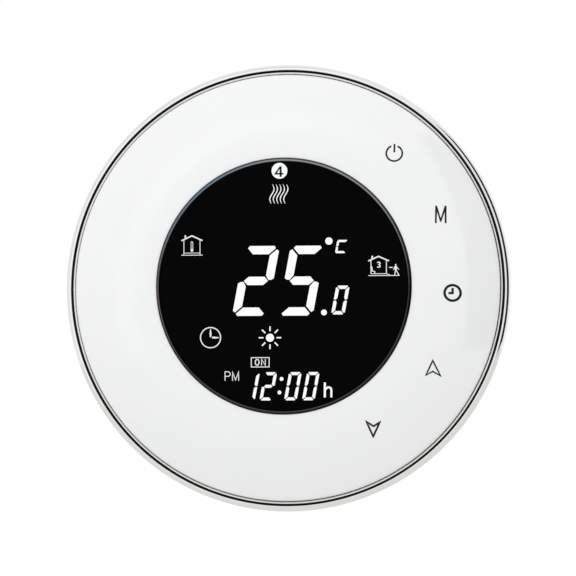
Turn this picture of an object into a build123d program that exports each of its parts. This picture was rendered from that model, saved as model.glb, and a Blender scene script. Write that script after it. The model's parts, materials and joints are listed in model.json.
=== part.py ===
from build123d import *
import math
import os

# Round wall thermostat. Millimetres. The origin is the centre of the wall plane, +Z is up,
# the face looks along -Y and the power case goes into the wall along +Y.

# ---- driving sizes: front unit ----
rim_r = 52.5            # widest radius of the object
rim_depth = 2.9         # chrome rim, front to back
face_y = -16.2          # front of the display glass
lip_r = 30.05           # display opening in the domed face
lip_y = -16.0           # front of the dome at that opening
lip_slope = 4.0         # degrees, slope of the dome beside the display
dome_r = 40.0           # radius of the dome's section
dome_wall = 1.8
skirt_r = 50.0          # outside of the dome's straight edge
skirt_wall = 1.6
case_r = 51.9           # outside of the tray behind the rim
case_wall = 1.6
case_back_y = -0.6      # the tray's edge stands this far off the wall
floor_back_y = -3.6
floor_front_y = -4.8
rim_back_y = -5.4
board_back_y = -6.0
board_front_y = -7.2
board_r = 47.8
key_ring_r = 40.0       # the touch keys lie on this radius
key_angles = [50.5, 24.0, -2.5, -29.0, -57.5]
boss_ring_r = 43.5      # moulded posts under the dome that take the case screws
boss_angles = [75, 165, 255, 345]
boss_r = 2.4
boss_hole_r = 1.0
boss_y = (-11.0, -7.2)
boss_floor = 0.6
edge_round = 0.6        # where the dome meets its skirt
past = 1                # a cutter runs this far past the face it leaves

# ---- driving sizes: display ----
glass_r = 29.1
glass_back_y = -15.0
glass_edge = 0.2
trim_r = (28.8, 30.0, 31.4)   # inner edge, crest's outside and hidden flange
trim_crest = (29.6, -16.45)
trim_back_y = -13.3
lcd_r = 34.5
lcd_flat = 30.6         # flats on the left, right and top of both plates
lcd_y = (-13.2, -12.1, -11.0)   # front, joint and back of the two plates
lcd_foot_z = (-33.0, -29.6)     # the front plate reaches lower, for its contacts
guide_r = 30.0
guide_y = (-10.9, -8.9)
guide_left_x = -26.0
guide_foot_z = -28.8
led_x = (-28.3, -26.1)
led_y = (-10.5, -9.3)
led_pitch = 5.4
led_half_z = 1.5
led_board_x = (-28.9, -28.3)
led_board_y = (-10.8, -7.2)
led_board_half_z = 8
holder_r = (36.0, 34.7)
shelf_r = (35.0, 30.4)
holder_front_y = -13.0
shelf_front_y = -10.95
strip_half_x = 11
strip_z = (-32.5, -30.2)
strip_fit = 0.3

# ---- driving sizes: rim ----
rim_in_r = 50.25
bead_top = (50.55, -8.2)
groove_r = (50.85, 51.25)
groove_floor_y = -7.3
bead_foot_y = -7.9
rim_back_r = 52.1
rim_side_y = (-6.8, -5.9)     # the rim's straight side
crown_mid = (52.15, -7.75)
crown_front_drop = 0.1
gasket_front_y = -8.0
gasket_fit = 0.02

# ---- driving sizes: tray behind the rim ----
hook_ring_r = 43.8
hook_angles = [30, 120, 210, 300]
hook_half_t = 0.7
hook_half_w = 3
hook_tip_y = -0.7
barb_x = 1.1
barb_y = (-1.7, -0.9)
floor_lap = 0.5         # the floor runs this far into the tray's wall
header_window = (9, 4.5)      # half width and half height
post_r = 3.4
sink_r = 2.3
sink_floor_y = -5.0
case_hole_r = 1.15
vent_half = 0.8
vent_turn = 4.5         # degrees between vents
vent_count = 4          # on each side of the middle one
vent_depth = 1.9
floor_vent_ring_r = 47.5
floor_vent_half_x = 1.6
pry_half_x = 7
pry_depth = (1.4, 2.5)
case_screw_r = (2.0, 0.95)    # head and shank
case_screw_y = (-10.0, -5.0, -4.0)
case_cross = (1.3, 0.25, 0.4)  # half length, half width and depth

# ---- driving sizes: control board ----
spring_turns = 6
spring_r = (1.7, 2.3, 2.6)    # hollow, root and crest of the turns
spring_gap = 0.1        # between a spring and the dome
leg_t = 0.25
leg_reach = 0.9
chip_lift = 0.1
sensor_at = (42.5, 285)
sensor_bead = (1.25, -9.2)
sensor_lead = (0.25, 0.6)
cell_at = (41.0, 130)
cell_size = (4.75, 2.1)
chip_size = (1.0, 0.6, 0.6)   # half width, half height and thickness of a resistor
chip_pitch = (3.2, 2.6)

# ---- driving sizes: wall unit ----
plate_r = 46.5
plate_t = 3.0
ledge_t = 1.8           # plate left under the power case's ears and the screw heads
slot_pitch = 60.0       # distance between the two wall screws
slot_r = 2.1
slot_length = 7.6
box_half_x = 23.6       # power case, half width and half height
box_half_z = 24.6
box_corner_r = 28.8     # its corners are cut to a round wall box
box_back_y = 24.0
box_wall = 1.6
power_board_y = (4.0, 5.6)
step_z = -11.2          # below this the case is shallow and the terminal block stands out
step_y = 7.2
pillar_x = 18.6
pillar_z = 18.0
ear_z = (24.6, 31.0)
ear_half_x = 14.0
ear_screw_x = 11.0
ear_screw_z = 28.0

# ---- driving sizes: connector ----
pin_pitch = 2.54
pin_columns = 5
pin_z = 14.0            # middle of the two pin rows
pin_w = 0.64
socket_hole_w = 1.0

# ---- driving sizes: terminals ----
way_pitch = 6.2
way_count = 6
terminal_z = -16.6      # screw axis
terminal_half_x = 19.5
terminal_z_span = (-21.8, -11.4)
terminal_back_y = 20.6
cage_half_x = 2.45
cage_half_z = 2.3
cage_y = (7.4, 15.4)
cage_wall = 0.9
screw_r = 1.45
screw_fit = 0.05
screw_head_r = 1.9
bar_y = (12.2, 13.0)

# ---- driving sizes: relay ----
relay_x = (-12.6, 0.1)
relay_z = (-8.2, 20.8)
relay_back_y = 21.3
relay_wall = 0.7
coil_y = 12.4           # height of the coil's axis
pivot_y = 18.6          # the armature swings on the yoke's outer edge
pivot_z = 12.3
blade_z = 13.2          # back of the armature, where the moving contact's blade is riveted


def block(x, y, z):
    """A box from its low and high values on each axis."""
    middle = [(low + high) / 2 for low, high in (x, y, z)]
    return Pos(*middle) * Box(x[1] - x[0], y[1] - y[0], z[1] - z[0])


def rod(radius, y, at=(0, 0)):
    """A round bar along Y, at (x, z)."""
    bar = Cylinder(radius, y[1] - y[0], rotation=(90, 0, 0))
    return Pos(at[0], (y[0] + y[1]) / 2, at[1]) * bar


def rod_x(radius, x, y, z):
    """A round bar along X."""
    return Pos((x[0] + x[1]) / 2, y, z) * Cylinder(radius, x[1] - x[0], rotation=(0, 90, 0))


def rod_z(radius, z, x, y):
    """A round bar along Z."""
    return Pos(x, y, (z[0] + z[1]) / 2) * Cylinder(radius, z[1] - z[0])


def ring(outer, inner, y):
    """A round ring about the Y axis."""
    return rod(outer, y) - rod(inner, (y[0] - 1, y[1] + 1))


def turned(*edges):
    """A closed outline of radius and Y, turned round the Y axis."""
    return revolve(make_face(Curve() + list(edges)), axis=Axis.Y)


def around(radius, degrees):
    """X and Z of a point at an angle on a circle, from +X towards +Z."""
    turn = math.radians(degrees)
    return radius * math.cos(turn), radius * math.sin(turn)


def placed_around(shape, radius, degrees):
    """Moves a shape made at the origin, with +X outwards, on to a circle about Y."""
    x, z = around(radius, degrees)
    return Pos(x, 0, z) * Rot(0, -degrees, 0) * shape


def stadium(half_width, length, y, x, z=0.0):
    """A slot's solid, long in X."""
    reach = length / 2 - half_width
    ends = rod(half_width, y, (x - reach, z)) + rod(half_width, y, (x + reach, z))
    return ends + block((x - reach, x + reach), y, (z - half_width, z + half_width))


def group(solids):
    """Separate solids of one node."""
    return Compound(children=list(solids))


# ---- front unit: shell ----

dome_centre_r = lip_r - dome_r * math.sin(math.radians(lip_slope))
dome_centre_y = lip_y + dome_r * math.cos(math.radians(lip_slope))


def dome_y(radius, depth=0.0):
    """Y of the dome's section at a radius, depth behind its outer surface."""
    across = radius - dome_centre_r
    return dome_centre_y - math.sqrt((dome_r - depth) ** 2 - across ** 2)


def dome_arc(from_r, to_r, depth):
    """The arc of the dome's section between two radii."""
    middle = (from_r + to_r) / 2
    points = [(radius, dome_y(radius, depth)) for radius in (from_r, middle, to_r)]
    return ThreePointArc(*points)


def face_dome():
    inner_r = skirt_r - skirt_wall
    outside = dome_arc(lip_r, skirt_r, 0)
    inside = dome_arc(inner_r, lip_r, dome_wall)
    skirt = Polyline(outside @ 1, (skirt_r, floor_front_y), (inner_r, floor_front_y), inside @ 0)
    lip = Line(inside @ 1, outside @ 0)
    shell = turned(outside, skirt, inside, lip)
    edge = shell.edges().filter_by(GeomType.CIRCLE).sort_by(SortBy.RADIUS)[-3:]
    shell = fillet(edge.sort_by(Axis.Y)[0], edge_round)
    for angle in boss_angles:
        at = around(boss_ring_r, angle)
        shell += rod(boss_r, boss_y, at)
        shell -= rod(boss_hole_r, (boss_y[0] + boss_floor, board_front_y + past), at)
    return shell


def display_trim_ring():
    inner, outer, flange = trim_r
    flange_y = trim_back_y - 0.6
    beside_glass = glass_r + 0.05
    points = [(beside_glass, trim_crest[1] + 0.3), trim_crest, (outer, trim_crest[1] + 0.35)]
    points += [(outer, flange_y), (flange, flange_y), (flange, trim_back_y), (inner, trim_back_y)]
    points += [(inner, glass_back_y), (beside_glass, glass_back_y)]
    return turned(Polyline(*points, close=True))


def display_glass():
    glass = rod(glass_r, (face_y, glass_back_y))
    front_edge = glass.edges().filter_by(GeomType.CIRCLE).sort_by(Axis.Y)[0]
    return chamfer(front_edge, glass_edge)


def chrome_ring():
    front_y = rim_back_y - rim_depth + crown_front_drop
    groove_in, groove_out = groove_r
    side_front_y, side_back_y = rim_side_y
    low = Polyline((groove_out, front_y), (groove_out, groove_floor_y), (groove_in, groove_floor_y),
                   (groove_in, bead_foot_y))
    bead = ThreePointArc((groove_in, bead_foot_y), bead_top, (rim_in_r, bead_foot_y))
    back = Polyline((rim_in_r, bead_foot_y), (rim_in_r, rim_back_y), (rim_back_r, rim_back_y),
                    (rim_r, side_back_y), (rim_r, side_front_y))
    crown = ThreePointArc((rim_r, side_front_y), crown_mid, (groove_out, front_y))
    return turned(low, bead, back, crown)


def rim_gasket():
    return ring(groove_r[1] - gasket_fit, groove_r[0] + gasket_fit, (gasket_front_y, groove_floor_y))


def hook():
    """A snap post on the back of the tray, made at the origin."""
    width = (-hook_half_w, hook_half_w)
    post = block((-hook_half_t, hook_half_t), (floor_back_y, hook_tip_y), width)
    return post + block((hook_half_t, barb_x), barb_y, width)


def front_case():
    tray = ring(case_r, case_r - case_wall, (rim_back_y, case_back_y))
    tray += rod(case_r - floor_lap, (floor_front_y, floor_back_y))
    window_x, window_z = header_window
    window_y = (floor_front_y - past, floor_back_y + past)
    tray -= block((-window_x, window_x), window_y, (pin_z - window_z, pin_z + window_z))
    for angle in boss_angles:
        at = around(boss_ring_r, angle)
        tray += rod(post_r, (board_back_y, floor_front_y), at)
        tray -= rod(sink_r, (sink_floor_y, floor_back_y + past), at)
        tray -= rod(case_hole_r, (board_back_y - past, sink_floor_y + past), at)
    for angle in hook_angles:
        tray += placed_around(hook(), hook_ring_r, angle)
    vent_z = (-vent_half, vent_half)
    vent_x = (-floor_vent_half_x, floor_vent_half_x)
    vent = block((-6, 6), (case_back_y - vent_depth, case_back_y + past), vent_z)
    floor_vent = block(vent_x, (floor_front_y - past, floor_back_y + past), vent_z)
    for side in (90, 270):
        for step in range(-vent_count, vent_count + 1):
            if side == 270 and abs(step) < 2:
                continue
            tray -= placed_around(vent, case_r, side + step * vent_turn)
            tray -= placed_around(floor_vent, floor_vent_ring_r, side + step * vent_turn)
    pry_y, pry_z = pry_depth
    notch_y = (case_back_y - pry_y, case_back_y + past)
    return tray - block((-pry_half_x, pry_half_x), notch_y, (-case_r - past, -case_r + pry_z))


def case_screws():
    head_r, shank_r = case_screw_r
    tip_y, neck_y, head_y = case_screw_y
    half_length, half_width, depth = case_cross
    slot = block((-half_length, half_length), (head_y - depth, head_y + past), (-half_width, half_width))
    cross = slot + Rot(0, 90, 0) * slot
    screws = []
    for angle in boss_angles:
        at = around(boss_ring_r, angle)
        screw = rod(head_r, (neck_y, head_y), at) + rod(shank_r, (tip_y, neck_y), at)
        screws.append(screw - Pos(at[0], 0, at[1]) * cross)
    return group(screws)


# ---- front unit: display ----

def lcd_outline(y, low_z):
    """A glass plate with four flats cut on a disc."""
    return rod(lcd_r, y) & block((-lcd_flat, lcd_flat), (y[0] - past, y[1] + past), (low_z, lcd_flat))


def lcd_front_glass():
    return lcd_outline(lcd_y[:2], lcd_foot_z[0])


def lcd_rear_glass():
    return lcd_outline(lcd_y[1:], lcd_foot_z[1])


def light_guide():
    return rod(guide_r, guide_y) & block((guide_left_x, guide_r + past), guide_y, (guide_foot_z, guide_r + past))


def backlight_board():
    return block(led_board_x, led_board_y, (-led_board_half_z, led_board_half_z))


def backlight_leds():
    places = (-led_pitch, 0, led_pitch)
    return group(block(led_x, led_y, (z - led_half_z, z + led_half_z)) for z in places)


def lcd_holder():
    frame = ring(*holder_r, (holder_front_y, board_front_y))
    frame += ring(*shelf_r, (shelf_front_y, board_front_y))
    opening_x = strip_half_x + strip_fit
    opening_z = (strip_z[0] - 0.4, strip_z[1] + 0.4)
    return frame - block((-opening_x, opening_x), (holder_front_y - past, board_front_y + past), opening_z)


def contact_strip():
    return block((-strip_half_x, strip_half_x), (lcd_y[1], board_front_y), strip_z)


# ---- front unit: electronics ----

def control_board():
    board = rod(board_r, (board_front_y, board_back_y))
    through = (board_front_y - past, board_back_y + past)
    for angle in boss_angles:
        board -= rod(boss_hole_r + 0.2, through, around(boss_ring_r, angle))
    for at in pin_places():
        board -= rod(0.5, through, at)
    return board


def coil_spring(at, top_y):
    """A touch spring: close turns round a hollow, its two ends ground flat."""
    hollow, root, crest = spring_r
    pitch = (board_front_y - top_y) / spring_turns
    outline = [(hollow, board_front_y), (root, board_front_y)]
    for turn in range(spring_turns):
        outline.append((crest, board_front_y - (turn + 0.5) * pitch))
        outline.append((root, board_front_y - (turn + 1) * pitch))
    outline.append((hollow, top_y))
    return Pos(at[0], 0, at[1]) * turned(Polyline(*outline, close=True))


def touch_springs():
    top_y = dome_y(key_ring_r + spring_r[2] + spring_gap, dome_wall) + spring_gap
    return group(coil_spring(around(key_ring_r, angle), top_y) for angle in key_angles)


def chip(x, z, half_x, half_z, thickness):
    """A chip on the control board, its legs as a thin skirt."""
    body_y = (board_front_y - thickness, board_front_y - chip_lift)
    body = block((x - half_x, x + half_x), body_y, (z - half_z, z + half_z))
    legs = block((x - half_x - leg_reach, x + half_x + leg_reach), (board_front_y - leg_t, board_front_y),
                 (z - half_z * 0.85, z + half_z * 0.85))
    return body + legs


def main_chip():
    legs = block((-13, -3), (board_front_y - leg_t, board_front_y), (-12.9, -1.1))
    return chip(-8, -7, 5, 5, 1.3) + legs


def touch_chip():
    return chip(20, 2, 2, 3.4, 1.2)


def clock_crystal():
    return block((-18.6, -15.4), (board_front_y - 0.9, board_front_y), (-3.8, -2.3))


def backup_cell():
    radius, thickness = cell_size
    return rod(radius, (board_front_y - thickness, board_front_y), around(*cell_at))


def temperature_sensor():
    x, z = around(*sensor_at)
    bead_r, bead_y = sensor_bead
    lead_r, lead_x = sensor_lead
    bead = Pos(x, bead_y, z) * Sphere(bead_r)
    for side in (-lead_x, lead_x):
        bead += rod(lead_r, (bead_y, board_front_y), (x + side, z))
    return bead


def chip_resistors():
    across, down = chip_pitch
    half_x, half_z, thickness = chip_size
    places = [(8 + across * column, -10 - down * row) for column in range(4) for row in range(3)]
    places += [(4 + across * column, 22) for column in range(3)]
    y = (board_front_y - thickness, board_front_y)
    return group(block((x - half_x, x + half_x), y, (z - half_z, z + half_z)) for x, z in places)


def pin_places():
    """X and Z of each pin."""
    columns = [(index - (pin_columns - 1) / 2) * pin_pitch for index in range(pin_columns)]
    rows = [pin_z - pin_pitch / 2, pin_z + pin_pitch / 2]
    return [(x, z) for x in columns for z in rows]


def square_pin(x, z, y, width):
    half = width / 2
    return block((x - half, x + half), y, (z - half, z + half))


def header_base():
    base = block((-6.6, 6.6), (board_back_y, -3.5), (pin_z - 2.6, pin_z + 2.6))
    for x, z in pin_places():
        base -= square_pin(x, z, (-7, -3), pin_w)
    return base


def header_pins():
    return group(square_pin(x, z, (board_front_y - 0.6, 2.0), pin_w) for x, z in pin_places())


# ---- wall unit: plate and case ----

def box_outline(inset, y):
    """The power case's outline as a solid: a rectangle with its corners cut round."""
    half_x = box_half_x - inset
    half_z = box_half_z - inset
    return rod(box_corner_r - inset, y) & block((-half_x, half_x), y, (-half_z, half_z))


def ears(grow, y):
    """The two ears of the power case, grown all round for the recess that takes them."""
    low, high = ear_z
    x = (-ear_half_x - grow, ear_half_x + grow)
    return [block(x, y, (low, high + grow)), block(x, y, (-high - grow, -low))]


def ear_screw_places():
    return [(x, z) for x in (-ear_screw_x, ear_screw_x) for z in (-ear_screw_z, ear_screw_z)]


def mounting_plate():
    plate = rod(plate_r, (-plate_t, 0))
    plate -= box_outline(-0.4, (-plate_t - 1, 1))
    for recess in ears(0.2, (-plate_t - 1, -ledge_t)):
        plate -= recess
    for side in (-1, 1):
        x = side * slot_pitch / 2
        plate -= stadium(slot_r, slot_length, (-plate_t - 1, 1), x)
        plate -= stadium(slot_r + 2.1, slot_length + 4.2, (-plate_t - 1, -ledge_t), x)
    for x, z in ear_screw_places():
        plate -= rod(1.05, (-ledge_t - 1, -0.2), (x, z))
    window = block((-1.4, 1.4), (-plate_t - 1, 1), (-3.5, 3.5))
    for angle in hook_angles:
        plate -= placed_around(window, hook_ring_r, angle)
    return plate


def flat_screw(at, head_r, head_y, tip_y, shank_r):
    """A countersunk screw with a cross recess, driven from the front."""
    x, z = at
    head = Pos(x, head_y + 0.5, z) * Cone(shank_r, head_r, 1.0, rotation=(90, 0, 0))
    screw = head + rod(shank_r, (head_y + 0.5, tip_y), at)
    slot = block((-head_r * 0.6, head_r * 0.6), (head_y - 1, head_y + 0.4), (-0.2, 0.2))
    cross = slot + Rot(0, 90, 0) * slot
    return screw - Pos(x, 0, z) * cross


def flat_screw_hole(at, head_r, head_y, tip_y, shank_r):
    x, z = at
    sink = Pos(x, head_y + 0.5, z) * Cone(shank_r + 0.08, head_r + 0.08, 1.0, rotation=(90, 0, 0))
    return sink + rod(shank_r + 0.08, (head_y, tip_y + 0.2), at)


def ear_screws():
    return group(flat_screw(at, 2.0, -plate_t, -0.5, 0.95) for at in ear_screw_places())


def power_case():
    edge_y = -ledge_t
    case = box_outline(0, (edge_y, box_back_y))
    case -= block((-40, 40), (step_y, 40), (-40, step_z))
    upper = box_outline(box_wall, (edge_y - 1, box_back_y - box_wall))
    case -= upper - block((-40, 40), (-10, 40), (-40, step_z + box_wall))
    lower = box_outline(box_wall, (edge_y - 1, power_board_y[1]))
    case -= lower
    for side in (-1, 1):
        pillar = rod(2.4, (power_board_y[1], box_back_y - 0.5), (side * pillar_x, pillar_z))
        case += pillar & box_outline(0.5, (0, box_back_y))
        case -= rod(1.05, (power_board_y[1] - 1, 12), (side * pillar_x, pillar_z))
    span_x = terminal_half_x + 0.2
    span_z = (terminal_z_span[0] - 0.2, step_z)
    case -= block((-span_x, span_x), (power_board_y[1] - 1, step_y + 1), span_z)
    for ear in ears(0, (-plate_t, edge_y)):
        case += ear
    # each ear is tied to the case's edge by a strip along the top of the wall
    for side in (-1, 1):
        z = sorted((side * (box_half_z - box_wall), side * box_half_z))
        case += block((-ear_half_x, ear_half_x), (-plate_t, edge_y + 0.5), z)
    for at in ear_screw_places():
        case -= flat_screw_hole(at, 2.0, -plate_t, edge_y, 0.95)
    return case


def power_case_lid():
    lid = box_outline(0.1, (-plate_t, -ledge_t))
    for side in (-1, 1):
        z = sorted((side * (box_half_z - box_wall - 0.1), side * 40))
        lid -= block((-ear_half_x - 0.1, ear_half_x + 0.1), (-5, 0), z)
        for end in (-1, 1):
            at = (side * pillar_x, end * pillar_z)
            lid += rod(2.1, (-ledge_t, power_board_y[0]), at) & box_outline(box_wall + 0.1, (-5, 10))
    lid -= block((-8.4, 8.4), (-5, 0), (pin_z - 3.3, pin_z + 3.3))
    for side in (-1, 1):
        lid -= flat_screw_hole((side * pillar_x, pillar_z), 1.9, -plate_t, 11, 0.95)
    for row in range(7):
        z = -18 + row * 3
        lid -= block((-10, 10), (-5, 0), (z - 0.6, z + 0.6))
    return lid


def lid_screws():
    return group(flat_screw((side * pillar_x, pillar_z), 1.9, -plate_t, 11, 0.95) for side in (-1, 1))


# ---- wall unit: electronics ----

def power_board():
    board = box_outline(box_wall + 0.2, power_board_y)
    for side in (-1, 1):
        board -= rod(1.1, (0, 10), (side * pillar_x, pillar_z))
    for x in way_places():
        board -= block((x - 0.7, x + 0.7), (0, 10), (-13.4, -12.4))
    return board


def board_socket():
    socket = block((-7.2, 7.2), (-2.6, power_board_y[0]), (pin_z - 2.4, pin_z + 2.4))
    for x, z in pin_places():
        socket -= square_pin(x, z, (-3, 3.4), socket_hole_w)
    return socket


def capacitor_can(radius, height, at):
    """A round can with a rolled neck near its foot."""
    foot_y = power_board_y[1]
    can = rod(radius, (foot_y, foot_y + height), at)
    can = chamfer(can.edges().filter_by(GeomType.CIRCLE), 0.4)
    return can - Pos(at[0], foot_y + 1.6, at[1]) * Torus(radius + 0.25, 0.5, rotation=(90, 0, 0))


def electrolytic_capacitors():
    return group([capacitor_can(4.0, 12.5, (5.6, 15.2)), capacitor_can(4.0, 11.0, (14.2, 11.6))])


def input_capacitor():
    body = block((-21.4, -16.4), (power_board_y[1], 16.6), (-8, 5))
    return chamfer(body.edges().filter_by(Axis.Y), 0.4)


def varistor():
    disc = rod_x(4.0, (-18.0, -14.8), 11.4, 10.4)
    disc = fillet(disc.edges().filter_by(GeomType.CIRCLE), 0.8)
    for side in (-1, 1):
        disc += rod(0.35, (power_board_y[1], 9), (-16.4, 10.4 + side * 2.5))
    return disc


def fuse():
    body = rod(2.7, (power_board_y[1] + 0.6, 13.0), (19.0, -1.0))
    return body + rod(0.35, (power_board_y[1], 7), (19.0, -2.6)) + rod(0.35, (power_board_y[1], 7), (19.0, 0.6))


def driver_chip():
    front = power_board_y[0]
    body = block((-4, 4), (front - 1.6, front - 0.1), (-9, -5))
    for index in range(4):
        x = -3 + index * 2
        body += block((x - 0.2, x + 0.2), (front - 0.6, front), (-10, -4))
    return body


def transformer_core():
    core = block((2.6, 15.6), (8.2, 18.2), (-3.2, 3.4))
    for low, high in ((4.8, 7.2), (11.0, 13.4)):
        core -= block((low, high), (10.2, 16.2), (-4, 4))
    return core


def transformer_winding():
    foot_y = power_board_y[1]
    winding = block((4.9, 13.3), (10.3, 16.1), (-6.2, 6.4))
    winding -= block((7.1, 11.1), (10, 17), (-3.3, 3.5))
    for z in ((-6.2, -3.4), (3.6, 6.4)):
        winding += block((3.6, 14.6), (foot_y + 0.8, 10.4), z)
        middle = sum(z) / 2
        for x in (5.0, 9.1, 13.2):
            winding += square_pin(x, middle, (foot_y, foot_y + 1), 0.6)
    return winding


# ---- wall unit: relay ----

relay_mid_x = (relay_x[0] + relay_x[1]) / 2


def relay_box(inset, y):
    x = (relay_x[0] + inset, relay_x[1] - inset)
    z = (relay_z[0] + inset, relay_z[1] - inset)
    return block(x, y, z)


def relay_case():
    foot_y = power_board_y[1]
    case = fillet(relay_box(0, (foot_y, relay_back_y)).edges().filter_by(Axis.Y), 0.8)
    return case - relay_box(relay_wall, (foot_y - 1, relay_back_y - relay_wall))


def relay_base():
    return relay_box(relay_wall + 0.05, (power_board_y[1], 7.0))


def relay_coil():
    coil = rod_z(4.3, (-3.9, 10.2), relay_mid_x, coil_y)
    for z in ((-4.8, -3.9), (10.2, 11.0)):
        coil += rod_z(4.8, z, relay_mid_x, coil_y)
    return coil - rod_z(1.85, (-6, 12), relay_mid_x, coil_y)


def relay_yoke():
    x = (relay_mid_x - 4.5, relay_mid_x + 4.5)
    yoke = block(x, (7.0, pivot_y), (-6.2, -4.9))
    yoke += block(x, (pivot_y - 1.2, pivot_y), (-6.2, pivot_z - 0.2))
    return yoke + rod_z(1.8, (-5.2, 11.4), relay_mid_x, coil_y)


def relay_fixed_contact():
    x = (relay_mid_x - 2, relay_mid_x + 2)
    blade = block(x, (7.0, 9.2), (11.45, 11.8))
    return blade + rod_z(0.8, (11.7, 12.1), relay_mid_x, 8.3)


def relay_armature():
    x = (relay_mid_x - 4.2, relay_mid_x + 4.2)
    return block(x, (9.8, pivot_y - 0.2), (pivot_z, blade_z))


def relay_moving_contact():
    x = (relay_mid_x - 2, relay_mid_x + 2)
    blade = block(x, (7.4, 17.0), (blade_z, blade_z + 0.3))
    return blade + rod_z(0.8, (blade_z - 0.3, blade_z + 0.1), relay_mid_x, 8.3)


# ---- wall unit: terminals ----

def way_places():
    """X of each terminal way."""
    return [(index - (way_count - 1) / 2) * way_pitch for index in range(way_count)]


def terminal_block():
    half = terminal_half_x
    body = block((-half, half), (power_board_y[1], terminal_back_y), terminal_z_span)
    body = chamfer(body.edges().filter_by(Axis.X).group_by(Axis.Y)[-1], 0.6)
    for x in way_places():
        cage_x = (x - cage_half_x - 0.15, x + cage_half_x + 0.15)
        cage_z = (terminal_z - cage_half_z - 0.2, terminal_z + cage_half_z + 0.2)
        body -= block(cage_x, (cage_y[0] - 0.2, 17.6), cage_z)
        body -= rod(1.6, (17, 19), (x, terminal_z))
        body -= rod(2.15, (18.4, terminal_back_y + 1), (x, terminal_z))
        body -= block((x - 1.9, x + 1.9), (8.4, 12.1), (terminal_z_span[0] - 1, terminal_z))
        body -= block((x - 1.7, x + 1.7), (5, 13.15), (terminal_z, -12.3))
    return body


def terminal_bars():
    bars = []
    for x in way_places():
        bar = block((x - 1.6, x + 1.6), bar_y, (-18.8, -12.5))
        bar += block((x - 1.6, x + 1.6), (power_board_y[1], bar_y[1]), (-13.3, -12.5))
        bars.append(bar + block((x - 0.6, x + 0.6), (3.2, 6), (-13.3, -12.5)))
    return group(bars)


def terminal_cage(x):
    low, high = cage_y
    cage_x = (x - cage_half_x, x + cage_half_x)
    z = (terminal_z - cage_half_z, terminal_z + cage_half_z)
    cage = block(cage_x, cage_y, z)
    inner_x = (cage_x[0] + 0.7, cage_x[1] - 0.7)
    cage -= block(inner_x, (low + cage_wall, high - cage_wall), (z[0] - 1, z[1] + 1))
    return cage - rod(screw_r + screw_fit, (high - 2, high + 1), (x, terminal_z))


def terminal_screw(x):
    at = (x, terminal_z)
    screw = rod(screw_r, (13.4, 18.6), at) + rod(screw_head_r, (18.45, 20.2), at)
    slot = block((-1.6, 1.6), (19.3, 21), (-0.3, 0.3))
    cross = slot + Rot(0, 90, 0) * slot
    return screw - Pos(x, 0, terminal_z) * cross


plain_nodes = [
    face_dome, display_trim_ring, display_glass, chrome_ring, rim_gasket, front_case, case_screws,
    lcd_front_glass, lcd_rear_glass, light_guide, backlight_board, backlight_leds, lcd_holder,
    contact_strip, control_board, touch_springs, main_chip, touch_chip, clock_crystal, backup_cell,
    temperature_sensor, chip_resistors, header_base, header_pins,
    mounting_plate, ear_screws, power_case, power_case_lid, lid_screws, power_board, board_socket,
    electrolytic_capacitors, input_capacitor, varistor, fuse, driver_chip, transformer_core,
    transformer_winding, relay_case, relay_base, relay_coil, relay_yoke, relay_fixed_contact,
    relay_armature, relay_moving_contact, terminal_block, terminal_bars,
]

nodes = {build.__name__: build() for build in plain_nodes}
for number, place in enumerate(way_places(), start=1):
    nodes[f"terminal_cage_{number}"] = terminal_cage(place)
    nodes[f"terminal_screw_{number}"] = terminal_screw(place)

os.makedirs("parts", exist_ok=True)
for name, shape in nodes.items():
    export_step(shape, f"parts/{name}.step")
print(len(nodes), "nodes")
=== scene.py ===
import json
import math
import bpy
from mathutils import Matrix, Vector


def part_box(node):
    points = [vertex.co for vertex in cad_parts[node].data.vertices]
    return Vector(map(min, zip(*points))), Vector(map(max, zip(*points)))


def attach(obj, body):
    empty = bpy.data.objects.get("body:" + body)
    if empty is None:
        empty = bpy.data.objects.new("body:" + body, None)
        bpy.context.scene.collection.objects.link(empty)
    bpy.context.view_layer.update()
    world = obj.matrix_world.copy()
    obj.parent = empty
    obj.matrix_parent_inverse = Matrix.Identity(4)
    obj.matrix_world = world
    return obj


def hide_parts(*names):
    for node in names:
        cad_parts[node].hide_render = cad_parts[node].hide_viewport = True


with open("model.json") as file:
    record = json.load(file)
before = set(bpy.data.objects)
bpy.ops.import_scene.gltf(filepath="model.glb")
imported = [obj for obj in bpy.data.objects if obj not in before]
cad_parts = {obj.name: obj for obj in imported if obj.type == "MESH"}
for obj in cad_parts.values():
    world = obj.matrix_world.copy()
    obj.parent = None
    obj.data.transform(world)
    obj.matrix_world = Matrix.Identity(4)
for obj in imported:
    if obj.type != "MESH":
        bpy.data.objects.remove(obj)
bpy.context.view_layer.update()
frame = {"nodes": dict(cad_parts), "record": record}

nodes = frame["nodes"]
mm = 0.001


def deselectAll():
    if bpy.context.object and bpy.context.object.mode != "OBJECT":
        bpy.ops.object.mode_set(mode="OBJECT")
    bpy.ops.object.select_all(action="DESELECT")


def makeActive(piece):
    deselectAll()
    piece.select_set(True)
    bpy.context.view_layer.objects.active = piece


def nameLast(name):
    piece = bpy.context.object
    piece.name = name
    piece.data.name = name
    return piece


def applyPlace(piece):  # place goes into the mesh, so the object sits at the origin
    makeActive(piece)
    bpy.ops.object.transform_apply(location=True, rotation=True, scale=True)


def applyModifiers(piece):
    makeActive(piece)
    for modifier in list(piece.modifiers):
        bpy.ops.object.modifier_apply(modifier=modifier.name)


def joinPieces(name, pieces):
    deselectAll()
    for piece in pieces:
        piece.select_set(True)
    bpy.context.view_layer.objects.active = pieces[0]
    if len(pieces) > 1:
        bpy.ops.object.join()
    return nameLast(name)


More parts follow.
